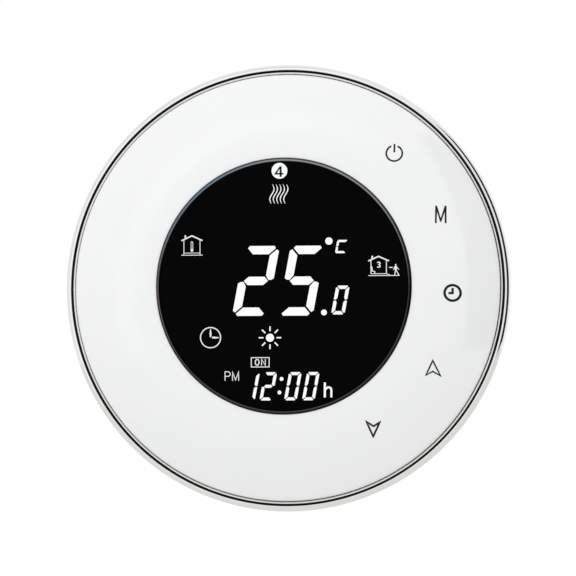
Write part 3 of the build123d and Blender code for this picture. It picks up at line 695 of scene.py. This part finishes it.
def drawNumber(name, text, height):  # a plain number of this height, about its middle
    deselectAll()
    bpy.ops.object.text_add()
    letters = bpy.context.object
    letters.data.body = text
    letters.data.extrude = marks["thick"] / 2
    letters.data.resolution_u = 6
    bpy.ops.object.convert(target="MESH")
    piece = nameLast(name)
    xs = [vertex.co.x for vertex in piece.data.vertices]
    zs = [vertex.co.y for vertex in piece.data.vertices]
    scale = height * mm / (max(zs) - min(zs))
    piece.data.transform(Matrix.Translation((-(max(xs) + min(xs)) / 2, -(max(zs) + min(zs)) / 2, 0)))
    piece.data.transform(Matrix.Diagonal((scale, scale, 1, 1)))
    return piece


def circlePoints(x, z, radius, steps=40, fromDegrees=0.0, sweep=360.0, includeEnd=False):
    count = steps + 1 if includeEnd else steps
    points = []
    for step in range(count):
        angle = math.radians(fromDegrees + sweep * step / steps)
        points.append((x + radius * math.cos(angle), z + radius * math.sin(angle)))
    return points


# drawn flat in X and Y: stands it up facing the viewer, just in front of the glass
def standOnGlass(piece, x=0.0, z=0.0):
    standing = Matrix.Rotation(math.pi / 2, 4, "X")
    piece.data.transform(standing)
    frontY = glassLow[1] - marks["gap"] - marks["thick"] / 2
    piece.data.transform(Matrix.Translation((x * mm, frontY, z * mm)))
    return piece


def standOnDome(piece, x, z):  # laid on the curved face, following its surface
    standing = Matrix.Rotation(math.pi / 2, 4, "X")
    piece.data.transform(standing)
    piece.data.transform(Matrix.Translation((x * mm, 0, z * mm)))
    for vertex in piece.data.vertices:
        radius = math.hypot(vertex.co.x, vertex.co.z)
        vertex.co.y += domeSurfaceY(radius) - marks["gap"] - marks["thick"] / 2
    return piece


segmentsOf = {"0": "abcdef", "1": "bc", "2": "abged", "5": "afgcd", "C": "afed"}


def segmentOutlines(digit, width, height, thick, gap):  # seven-segment outlines, upright, from 0,0
    tip = 0.27 * thick
    flat = 0.46 * thick
    middle = height / 2
    half = thick / 2
    top = [(gap + flat, height), (width - gap - flat, height), (width - gap - tip, height - tip),
           (width - thick - gap, height - thick), (thick + gap, height - thick), (gap + tip, height - tip)]
    side = [(width, height - gap - flat), (width - tip, height - gap - tip),
            (width - thick, height - thick - gap), (width - thick, middle + half + gap),
            (width - 0.62 * thick, middle + 0.8 * gap), (width - 0.3 * thick, middle + 0.8 * gap),
            (width, middle + 0.3 * thick)]
    bar = [(half + gap, middle), (thick + gap, middle + half), (width - thick - gap, middle + half),
           (width - half - gap, middle), (width - thick - gap, middle - half), (thick + gap, middle - half)]
    left = [(width - x, z) for x, z in side]
    shapes = {"a": top, "b": side, "f": left, "g": bar,
              "d": [(x, height - z) for x, z in top],
              "c": [(x, height - z) for x, z in side],
              "e": [(x, height - z) for x, z in left]}
    return [shapes[segment] for segment in segmentsOf[digit]]


def slanted(outlines, x, z):  # leans the upright outlines and moves them to their place
    lean = math.tan(math.radians(marks["slant"]))
    return [[(x + px + lean * pz, z + pz) for px, pz in outline] for outline in outlines]


def litDigits(name, digits, width, height, thick, gap):
    outlines = []
    for digit, x, z in digits:
        outlines += slanted(segmentOutlines(digit, width, height, thick, gap), x, z)
    return drawShapes(name, outlines)


def showLit(piece, material, x=0.0, z=0.0):
    standOnGlass(piece, x, z)
    finishPiece(piece, "front_unit", material, degrees=60)


digits = {"bigSize": (8.2, 16.35, 1.95, 0.3), "bigX": (-12.15, -1.36), "bigZ": -6.95,
          "tenthSize": (3.15, 6.75, 0.78, 0.16), "tenthPlace": (11.15, -6.74),
          "degreeDot": (10.66, 10.45, 0.86),
          "pointDot": (9.5, -6.25, 0.68), "unitSize": (2.5, 3.1, 0.5, 0.04), "unitPlace": (12.08, 7.6),
          "timeSize": (2.95, 6.6, 0.7, 0.15), "timeX": (-9.75, -5.7, 0.1, 4.32), "timeZ": -26.77,
          "colonDots": ((-0.46, -21.76, 0.45), (-0.98, -24.92, 0.45))}


def makeDisplayDigits():
    low = digits["bigZ"]
    big = [("2", digits["bigX"][0], low), ("5", digits["bigX"][1], low)]
    showLit(litDigits("digitsTemperature", big, *digits["bigSize"]), litWhite)
    showLit(litDigits("digitTenths", [("0", *digits["tenthPlace"])], *digits["tenthSize"]), litWhite)
    dots = [circlePoints(*digits["degreeDot"]), circlePoints(*digits["pointDot"])]
    showLit(drawShapes("temperatureDots", dots), litWhite)
    showLit(litDigits("unitLetter", [("C", *digits["unitPlace"])], *digits["unitSize"]), litWhite)
    times = [(digit, x, digits["timeZ"]) for digit, x in zip("1200", digits["timeX"])]
    showLit(litDigits("digitsTime", times, *digits["timeSize"]), litWhite)
    colon = [circlePoints(*dot) for dot in digits["colonDots"]]
    showLit(drawShapes("timeColon", colon), litWhite)


makeDisplayDigits()
print("display digits made")


pictures = {"program": (-0.97, 27.0), "waves": (-1.1, 21.55), "home": (-21.6, 9.6), "leave": (23.6, 4.77),
            "clock": (-17.2, -12.0), "sun": (-3.2, -12.1), "on": (-5.5, -17.84), "pm": (-12.18, -21.03),
            "hour": (10.45, -24.37), "discR": 1.86, "inkGap": 0.035 * mm, "waveStart": -1.65, "wavePitch": 0.82,
            "clockR": 2.37, "rayIn": 1.55, "rayOut": 2.65, "sunR": 0.95}


def makeDisplayPictures():
    disc = drawShapes("programDisc", [circlePoints(0, 0, pictures["discR"], 48)])
    showLit(disc, litWhite, *pictures["program"])
    strokes = [([(0.28, 1.05), (0.28, -1.45)], 0.5), ([(0.2, 0.95), (-0.95, -0.7), (0.95, -0.7)], 0.38)]
    four = drawLines("programFour", strokes)
    standOnGlass(four, *pictures["program"])
    four.data.transform(Matrix.Translation((0, -pictures["inkGap"], 0)))
    finishPiece(four, "front_unit", ink, degrees=60)
    waves = [waveLine(pictures["waveStart"] + index * pictures["wavePitch"]) for index in range(5)]
    showLit(drawLines("heatWaves", waves), litWhite, *pictures["waves"])
    showLit(drawLines("homePicture", homeLines()), litDim, *pictures["home"])
    showLit(drawLines("leavePicture", leaveLines()), litDim, *pictures["leave"])
    clock = [(circlePoints(0, 0, pictures["clockR"], 56), 0.25, True),
             ([(0, 2.0), (0, 0.9), (0, 0.1)], (0.16, 0.46, 0.26)),
             ([(2.0, -0.03), (0.9, 0.0), (0.35, 0.03)], (0.16, 0.46, 0.34))]
    showLit(drawLines("clockPicture", clock), litDim, *pictures["clock"])
    rays = []
    for index in range(8):
        angle = math.radians(45 * index)
        ends = [(r * math.cos(angle), r * math.sin(angle)) for r in (pictures["rayIn"], pictures["rayOut"])]
        rays.append((ends, 0.3))
    showLit(drawLines("sunRays", rays), litWhite, *pictures["sun"])
    showLit(drawShapes("sunDisc", [circlePoints(0, 0, pictures["sunR"])]), litWhite, *pictures["sun"])
    box = [([(-2.1, -1.09), (2.1, -1.09), (2.1, 1.09), (-2.1, 1.09)], 0.2, True)]
    showLit(drawLines("onFrame", box), litDim, *pictures["on"])
    onLines = [([(x * 0.45 - 0.72, z * 0.68) for x, z in circlePoints(0, 0, 1, 20)], 0.24, True),
               ([(0.32, -0.75), (0.32, 0.72), (1.2, -0.72), (1.2, 0.75)], 0.22)]
    showLit(drawLines("onLetters", onLines), litDim, *pictures["on"])
    pmLines = [([(-1.6, -1.1), (-1.6, 1.02), (-0.75, 1.02), (-0.4, 0.7),
                 (-0.4, 0.25), (-0.75, -0.05), (-1.5, -0.05)],
                0.19),
               ([(0.15, -1.1), (0.15, 1.05), (0.87, -0.95), (1.6, 1.05), (1.6, -1.1)], 0.18)]
    showLit(drawLines("pmLetters", pmLines), litDim, *pictures["pm"])
    hourLines = [([(-0.75, -1.75), (-0.75, 1.75)], 0.49),
                 ([(-0.6, 0.1), (-0.2, 0.55), (0.3, 0.62), (0.68, 0.35), (0.78, -0.1), (0.78, -1.75)], 0.45)]
    showLit(drawLines("hourLetter", hourLines), litWhite, *pictures["hour"])


def waveLine(x0):  # a rising heat wave with tapered ends
    points, widths = [], []
    for step in range(25):
        along = step / 24
        points.append((x0 + 0.42 * math.sin(math.tau * along) - 0.3 * (along - 0.5), 2.25 - 4.5 * along))
        widths.append(0.08 + 0.15 * min(1, 4 * min(along, 1 - along)))
    return points, widths


def homeLines():  # a small house with a thermometer in it
    return [([(-1.9, -2.1), (-1.9, 1.3)], 0.17), ([(1.9, -2.1), (1.9, 1.3)], 0.17),
            ([(-2.5, 1.15), (0, 2.28), (2.5, 1.15)], 0.3), ([(-2.5, -2.25), (2.5, -2.25)], 0.16),
            ([(-1.9, -1.75), (1.9, -1.75)], 0.14), ([(-1.55, 1.6), (-1.55, 2.4)], 0.34),
            ([(-0.2, -0.8), (-0.2, 0.75), (0, 0.95), (0.2, 0.75), (0.2, -0.8)], 0.14),
            ([(0, -1.45), (0, -1.2), (0, -0.95), (0, -0.75)], (0.3, 0.62, 0.62, 0.3))]


def leaveLines():  # a house with a 3 and a seat in it, and a walking figure outside
    return [([(-3.05, -2.0), (-3.05, 1.1)], 0.2), ([(0.57, -2.0), (0.57, 1.1)], 0.2),
            ([(-3.7, 0.95), (-1.3, 2.02), (1.2, 0.95)], 0.3), ([(-3.65, -2.46), (3.65, -2.46)], 0.17),
            ([(-3.05, -2.03), (0.6, -2.03), (1.4, -2.36)], 0.15), ([(-2.76, 1.3), (-2.76, 2.15)], 0.36),
            ([(-1.6, 0.62), (-1.05, 0.66), (-0.9, 0.36), (-1.2, 0.12),
              (-0.88, -0.14), (-1.02, -0.5), (-1.6, -0.5)],
             0.25),
            ([(-2.9, -0.3), (-2.75, -0.9), (-2.8, -1.4), (-2.2, -1.5), (-2.15, -2.0)], 0.2),
            ([(1.2, -0.58), (2.05, -0.58)], 0.22), ([(2.76, 0.2), (2.76, 0.02), (2.76, -0.16)],
                                                           (0.2, 0.38, 0.2)),
            ([(2.8, -0.2), (2.78, -0.75), (2.74, -1.3)], (0.3, 0.5, 0.3)),
            ([(2.74, -1.1), (2.62, -1.8), (2.5, -2.35)], 0.22),
            ([(2.8, -1.1), (3.15, -1.75), (3.5, -2.35)], 0.22),
            ([(2.25, -1.15), (2.5, -0.45), (3.0, -0.5), (3.5, -1.1)], 0.18)]


keyMarks = {"power": (25.8, 31.05), "mode": (36.7, 16.65), "clock": (39.5, -1.75), "up": (34.85, -19.3),
            "down": (20.85, -33.4)}


def showInk(piece, key):
    standOnDome(piece, *keyMarks[key])
    finishPiece(piece, "front_unit", ink, degrees=60)


def makeTouchMarks():
    power = [(circlePoints(0, 0, 1.84, 48, 113, 314, True), 0.39), ([(0, 0.25), (0, 2.25)], 0.39)]
    showInk(drawLines("keyPower", power), "power")
    mode = [(-1.3, -2.05), (-1.25, 2.05), (-0.86, 2.05), (0.02, -0.9), (0.9, 2.05), (1.3, 2.05), (1.35, -2.05),
            (0.95, -2.05), (0.91, 0.7), (0.17, -1.72), (-0.13, -1.72), (-0.86, 0.7), (-0.9, -2.05)]
    showInk(drawShapes("keyMode", [[point[:2] for point in finePoints(mode, 0, True)]]), "mode")
    clock = [(circlePoints(0, 0, 1.82, 56), 0.57, True), ([(0, 1.15), (0, -0.05), (-0.95, -0.05)], 0.52)]
    showInk(drawLines("keyClock", clock), "clock")
    up = [([(0, 1.75), (-1.6, -1.65), (-0.05, -0.75), (1.7, -1.8)], 0.34, True)]
    showInk(drawLines("keyUp", up), "up")
    down = [([(-0.05, -1.8), (-1.55, 1.65), (0.1, 0.55), (1.6, 1.55)], 0.43, True)]
    showInk(drawLines("keyDown", down), "down")


makeDisplayPictures()
makeTouchMarks()
print("pictures and touch marks made")


# ---- inside the front: helical touch springs and chip legs ----

springs = {"angles": (50.5, 24.0, -2.5, -29.0, -57.5), "ring": 40 * mm, "coilR": 2.3 * mm, "wireR": 0.22 * mm,
           "turns": 5}


def makeTouchSpring(at, low, high):  # a wire circle swept up a screw, its ends closed
    pitch = (high - low - 2 * springs["wireR"]) / springs["turns"]
    deselectAll()
    bpy.ops.mesh.primitive_circle_add(vertices=10, radius=springs["wireR"], fill_type="NGON",
                                      location=(springs["coilR"], 0, 0), rotation=(math.pi / 2, 0, 0))
    spring = nameLast("touchSpring")
    applyPlace(spring)
    screw = spring.modifiers.new("screw", "SCREW")
    screw.axis = "Z"
    screw.steps = 32
    screw.render_steps = 32
    screw.screw_offset = pitch
    screw.iterations = springs["turns"]
    applyModifiers(spring)
    spring.data.transform(Matrix.Rotation(math.pi / 2, 4, "X"))
    spring.data.transform(Matrix.Translation((at[0], high - springs["wireR"], at[1])))
    return spring


def makeTouchSprings():
    low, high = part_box("touch_springs")
    coils = []
    for angle in springs["angles"]:
        x = springs["ring"] * math.cos(math.radians(angle))
        z = springs["ring"] * math.sin(math.radians(angle))
        coils.append(makeTouchSpring((x, z), low[1], high[1]))
    return joinPieces("touchSprings", coils)


legs = {"width": 0.3 * mm, "thick": 0.14 * mm, "pitch": 0.8 * mm, "reach": 0.5 * mm}


def makeLeg(x, z, outwards, boardY):  # one gull-wing leg: foot on the board, bent up to the chip's side
    deselectAll()
    bpy.ops.mesh.primitive_cube_add(size=1, location=(x, boardY - legs["thick"] / 2, z))
    leg = nameLast("leg")
    leg.scale = (legs["width"], legs["thick"], legs["width"])
    applyPlace(leg)
    inward = -Vector(outwards)
    pickFaces(leg, lambda face: face.normal.dot(inward) > 0.9)
    for step in (inward * legs["reach"], Vector((0, -0.4 * mm, 0)) + inward * 0.15 * mm, inward * 0.25 * mm):
        bpy.ops.mesh.extrude_region_move(TRANSFORM_OT_translate={"value": tuple(step)})
    bpy.ops.object.mode_set(mode="OBJECT")
    return leg


def makeLegRow(count, start, along, outwards, boardY):
    rowLegs = []
    first = makeLeg(start[0], start[1], outwards, boardY)
    rowLegs.append(first)
    for index in range(1, count):
        shift = Vector(along) * legs["pitch"] * index
        rowLegs.append(copyPiece(first, shift))
    return rowLegs


def makeChipLegs():
    low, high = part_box("main_chip")
    midX, midZ = (low[0] + high[0]) / 2, (low[2] + high[2]) / 2
    reach = (high[0] - low[0]) / 2 - 0.1 * mm
    half = 5.5 * legs["pitch"]
    rows = []
    for side in (-1, 1):
        rows += makeLegRow(12, (midX + side * reach, midZ - half), (0, 0, 1), (side, 0, 0), high[1])
        rows += makeLegRow(12, (midX - half, midZ + side * reach), (1, 0, 0), (0, 0, side), high[1])
    smallLow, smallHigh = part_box("touch_chip")
    smallX = (smallLow[0] + smallHigh[0]) / 2
    smallReach = (smallHigh[0] - smallLow[0]) / 2 - 0.1 * mm
    for side in (-1, 1):
        start = (smallX + side * smallReach, (smallLow[2] + smallHigh[2]) / 2 - 3 * legs["pitch"])
        rows += makeLegRow(7, start, (0, 0, 1), (side, 0, 0), high[1])
    return joinPieces("chipLegs", rows)


finishPiece(makeTouchSprings(), "front_unit", finishes["spring_steel"], ["touch_springs"], 60)
chipLegs = makeChipLegs()
finishPiece(chipLegs, "front_unit", finishes["nickel"])
print("springs and chip legs made")


# ---- on the wall unit: terminal numbers, plate arrow; on the control board: solder joints ----

wallMarks = {"numberHeight": 2.1, "numberZ": -12.95, "arrowR": 3.0 * mm, "arrowZ": 39.5 * mm,
             "raised": 0.3 * mm}


def makeTerminalNumbers():  # 1 to 6 beside the clamps, read from behind
    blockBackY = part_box("terminal_block")[1][1]
    numbers = []
    for way in range(1, 7):
        cageLow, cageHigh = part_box("terminal_cage_%d" % way)
        number = drawNumber("number", str(way), wallMarks["numberHeight"])
        number.data.transform(Matrix.Rotation(math.pi / 2, 4, "X"))
        number.data.transform(Matrix.Rotation(math.pi, 4, "Z"))
        place = ((cageLow[0] + cageHigh[0]) / 2, blockBackY + marks["thick"] / 2,
                 wallMarks["numberZ"] * mm)
        number.data.transform(Matrix.Translation(place))
        numbers.append(number)
    return joinPieces("terminalNumbers", numbers)


def makePlateArrow():  # a raised arrowhead that shows which way up the plate goes
    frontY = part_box("mounting_plate")[0][1]
    deselectAll()
    bpy.ops.mesh.primitive_cylinder_add(vertices=3, radius=wallMarks["arrowR"], depth=wallMarks["raised"],
                                        location=(0, frontY - wallMarks["raised"] / 2 + 0.02 * mm,
                                                  wallMarks["arrowZ"]),
                                        rotation=(math.pi / 2, 0, 0))
    arrow = nameLast("plateArrow")
    applyPlace(arrow)
    pickFaces(arrow, lambda face: face.normal.y < -0.9)
    bpy.ops.mesh.inset(thickness=0.35 * mm)
    bpy.ops.transform.translate(value=(0, -0.08 * mm, 0))
    bpy.ops.object.mode_set(mode="OBJECT")
    bevel = arrow.modifiers.new("bevel", "BEVEL")
    bevel.width = 0.08 * mm
    bevel.segments = 2
    applyModifiers(arrow)
    return arrow


def makeSolderJoint(x, y, z, radius):  # a small cone of solder drawn up a pin, its foot on the board
    profile = [(0.2 * mm, y - 0.75 * mm), (0.32 * mm, y - 0.5 * mm), (0.5 * mm, y - 0.25 * mm),
               (radius * 0.85, y - 0.08 * mm), (radius, y), (0.2 * mm, y)]
    joint = turnProfile("solderJoint", profile, 20)
    joint.data.transform(Matrix.Translation((x, 0, z)))
    return joint


def makeHeaderJoints():
    low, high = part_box("header_pins")
    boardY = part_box("control_board")[0][1]
    pinHalf = 0.32 * mm
    joints = []
    for row in (low[2] + pinHalf, high[2] - pinHalf):
        for column in range(5):
            x = low[0] + pinHalf + column * (high[0] - low[0] - 2 * pinHalf) / 4
            joints.append(makeSolderJoint(x, boardY, row, 0.85 * mm))
    return joinPieces("headerJoints", joints)


numbers = makeTerminalNumbers()
finishPiece(numbers, "wall_unit", paint, degrees=60)
arrow = makePlateArrow()
finishPiece(arrow, "wall_unit", finishes["white_satin"], degrees=30)
joints = makeHeaderJoints()
finishPiece(joints, "front_unit", finishes["nickel"], degrees=50)
print("numbers, arrow and solder joints made")


# ---- on the power board: capacitor cans ----

cans = {"sleeveR": 4.0 * mm, "roll": 0.35 * mm, "topSunk": 0.25 * mm, "vent": 0.22 * mm,
        "places": ((5.6, 15.2, 12.5), (14.2, 11.6, 11.0))}


def makeCapacitorSleeve(footY, height):  # turned sleeve: beaded neck near the foot, rolled edge at the top
    r = cans["sleeveR"]
    roll = cans["roll"]
    neck = arcPoints((r + 0.25 * mm, footY + 1.6 * mm), 0.5 * mm, -40, -140, 8)
    rolled = arcPoints((r - roll, footY + height - roll), roll, 90, 180, 6)
    top = [(r - 0.9 * mm, footY + height), (r - 0.95 * mm, footY + height - cans["topSunk"]),
           (r - 1.1 * mm, footY + height - cans["topSunk"])]
    profile = [(r - 1.1 * mm, footY), (r - 0.3 * mm, footY), (r, footY + 0.3 * mm)] + neck + rolled + top
    return turnProfile("capacitorSleeve", profile, 64)


def makeCapacitorTop(footY, height):  # the can's aluminium end, scored with the safety vent's cross
    topY = footY + height - cans["topSunk"]
    deselectAll()
    bpy.ops.mesh.primitive_cylinder_add(vertices=48, radius=cans["sleeveR"] - 0.98 * mm, depth=0.6 * mm,
                                        location=(0, topY - 0.26 * mm, 0), rotation=(math.pi / 2, 0, 0))
    end = nameLast("capacitorTop")
    applyPlace(end)
    pickFaces(end, lambda face: face.normal.y > 0.9)
    bpy.ops.mesh.inset(thickness=0.3 * mm)
    bpy.ops.transform.translate(value=(0, -0.1 * mm, 0))
    bpy.ops.object.mode_set(mode="OBJECT")
    for turn in (math.pi / 4, -math.pi / 4):
        bpy.ops.mesh.primitive_cube_add(size=1, location=(0, topY, 0), rotation=(0, turn, 0))
        score = bpy.context.object
        score.scale = (4.6 * mm, 0.3 * mm, cans["vent"])
        applyPlace(score)
        cut = end.modifiers.new("cut", "BOOLEAN")
        cut.operation = "DIFFERENCE"
        cut.object = score
        applyModifiers(end)
        bpy.data.objects.remove(score)
    return end


def makeCapacitors():
    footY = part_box("electrolytic_capacitors")[0][1]
    sleeves, tops = [], []
    for x, z, height in cans["places"]:
        sleeve = makeCapacitorSleeve(footY, height * mm)
        end = makeCapacitorTop(footY, height * mm)
        for piece in (sleeve, end):
            piece.data.transform(Matrix.Translation((x * mm, 0, z * mm)))
        sleeves.append(sleeve)
        tops.append(end)
    return joinPieces("capacitorSleeves", sleeves), joinPieces("capacitorTops", tops)


capacitorSleeves, capacitorTops = makeCapacitors()
finishPiece(capacitorSleeves, "wall_unit", finishes["capacitor_sleeve"], ["electrolytic_capacitors"])
finishPiece(capacitorTops, "wall_unit", finishes["nickel"])
print("capacitors made")


# ---- stage, light and camera ----

studio = {"floorZ": -0.32, "cameraFar": 2.0, "azimuth": 6.5, "elevation": -3.0, "fill": 0.776,
          "dimSide": 1.0, "brightSide": 0.87, "glow": 0.5, "brightFrom": (-0.62, -0.45, 0.5), "backdrop": 1.0,
          "ringY": 0.79, "ringWide": 0.13, "ringFrom": (-0.75, 0.0, 0.66), "cardPlace": (0.5, -0.2, 0.24),
          "cardSize": (0.5, 0.75), "cardTurn": 70, "keyPlace": (-0.5, -0.7, 0.6), "keySize": (0.5, 0.5),
          "keyPower": 1.2}


def makeStage():
    deselectAll()
    bpy.ops.mesh.primitive_plane_add(size=2.4, location=(0, 0, studio["floorZ"]))
    floor = nameLast("studioFloor")
    material, tree, shader, place = newMaterial("paleFloor", {"Roughness": 0.8})
    weather(tree, shader, place, ("e6e6e4", "ededeb"), 60, (0.7, 0.85), 3, 0.02)
    floor.data.materials.append(material)


def makeCard(name, place, size, turn):  # a black card that only reflections see
    deselectAll()
    bpy.ops.mesh.primitive_plane_add(size=1, location=place, rotation=turn)
    card = nameLast(name)
    card.scale = (size[0], size[1], 1)
    material, tree, shader, coords = newMaterial(name + "Black", {"Roughness": 0.9})
    weather(tree, shader, coords, ("050505", "0a0a0a"), 50, (0.8, 0.9), 5, 0.01)
    card.data.materials.append(material)
    card.visible_camera = False
    card.visible_diffuse = False
    card.visible_shadow = False


def addGlowRing(tree, towards, level):  # a wide soft ring of light up and to the left of the viewer
    axes = addNode(tree, "SeparateXYZ", {}, {0: towards})
    off = addNode(tree, "Math", {"operation": "ADD", 1: studio["ringY"]}, {0: axes.outputs["Y"]})
    away = addNode(tree, "Math", {"operation": "ABSOLUTE"}, {0: off})
    lobe = addNode(tree, "MapRange", {"interpolation_type": "SMOOTHSTEP", "From Min": 0.0,
                   "From Max": studio["ringWide"], "To Min": studio["glow"], "To Max": 0.0}, {"Value": away})
    lean = addNode(tree, "VectorMath", {"operation": "DOT_PRODUCT", 1: studio["ringFrom"]}, {0: towards})
    side = addNode(tree, "MapRange", {"interpolation_type": "SMOOTHSTEP", "From Min": 0.0,
                   "From Max": 0.5}, {"Value": lean.outputs["Value"]})
    glow = addNode(tree, "Math", {"operation": "MULTIPLY"},
                   {0: lobe, 1: side})
    return addNode(tree, "Math", {"operation": "ADD"}, {0: glow, 1: level}).outputs["Value"]


def makeWorld():
    world = bpy.data.worlds.new("studio")
    bpy.context.scene.world = world
    world.use_nodes = True
    tree = world.node_tree
    tree.nodes.clear()
    towards = addNode(tree, "TexCoord").outputs["Generated"]
    lean = addNode(tree, "VectorMath", {"operation": "DOT_PRODUCT", 1: studio["brightFrom"]}, {0: towards})
    level = addNode(tree, "MapRange", {"From Min": -0.6, "From Max": 0.9, "To Min": studio["dimSide"],
                    "To Max": studio["brightSide"]}, {"Value": lean.outputs["Value"]})
    room = addNode(tree, "Background", {"Color": toLinear("ffffff")},
                   {"Strength": addGlowRing(tree, towards, level.outputs["Result"])})
    backdrop = addNode(tree, "Background", {"Color": toLinear("ffffff"), "Strength": studio["backdrop"]})
    ray = addNode(tree, "LightPath")
    mix = addNode(tree, "MixShader", {}, {0: ray.outputs["Is Camera Ray"], 1: room.outputs[0],
                                                    2: backdrop.outputs[0]})
    addNode(tree, "OutputWorld", {}, {"Surface": mix.outputs[0]})


def addSoftbox(name, place, size, power):
    light = bpy.data.lights.new(name, "AREA")
    light.shape = "RECTANGLE"
    light.size, light.size_y = size
    light.energy = power
    lamp = bpy.data.objects.new(name, light)
    lamp.location = place
    lamp.rotation_euler = (-Vector(place)).to_track_quat("-Z", "Y").to_euler()
    lamp.visible_glossy = False
    bpy.context.collection.objects.link(lamp)


def makeCamera():
    azimuth = math.radians(studio["azimuth"])
    elevation = math.radians(studio["elevation"])
    back = Vector((math.sin(azimuth) * math.cos(elevation), -math.cos(azimuth) * math.cos(elevation),
                   math.sin(elevation)))
    target = Vector((0, ringLow[1] + 1.1 * mm, 0))
    camera = bpy.data.objects.new("camera", bpy.data.cameras.new("camera"))
    camera.location = target + back * studio["cameraFar"]
    camera.rotation_euler = back.to_track_quat("Z", "Y").to_euler()
    width = 2 * ringHigh[0] / studio["fill"]
    camera.data.sensor_width = 36
    camera.data.lens = 36 * studio["cameraFar"] / width
    bpy.context.collection.objects.link(camera)
    bpy.context.scene.camera = camera


makeStage()
cardTurn = (math.pi / 2, 0, math.radians(studio["cardTurn"]))
makeCard("darkCard", studio["cardPlace"], studio["cardSize"], cardTurn)
makeWorld()
addSoftbox("keySoftbox", studio["keyPlace"], studio["keySize"], studio["keyPower"])
makeCamera()
bpy.context.scene.view_settings.view_transform = "Standard"
print("stage, light and camera made")


# ---- CAD nodes keep their shape and get their finish ----

def dressNodes():
    for name, piece in nodes.items():
        piece.data.materials.clear()
        piece.data.materials.append(finishes[slotOf[name]])


dressNodes()
print("CAD nodes dressed")
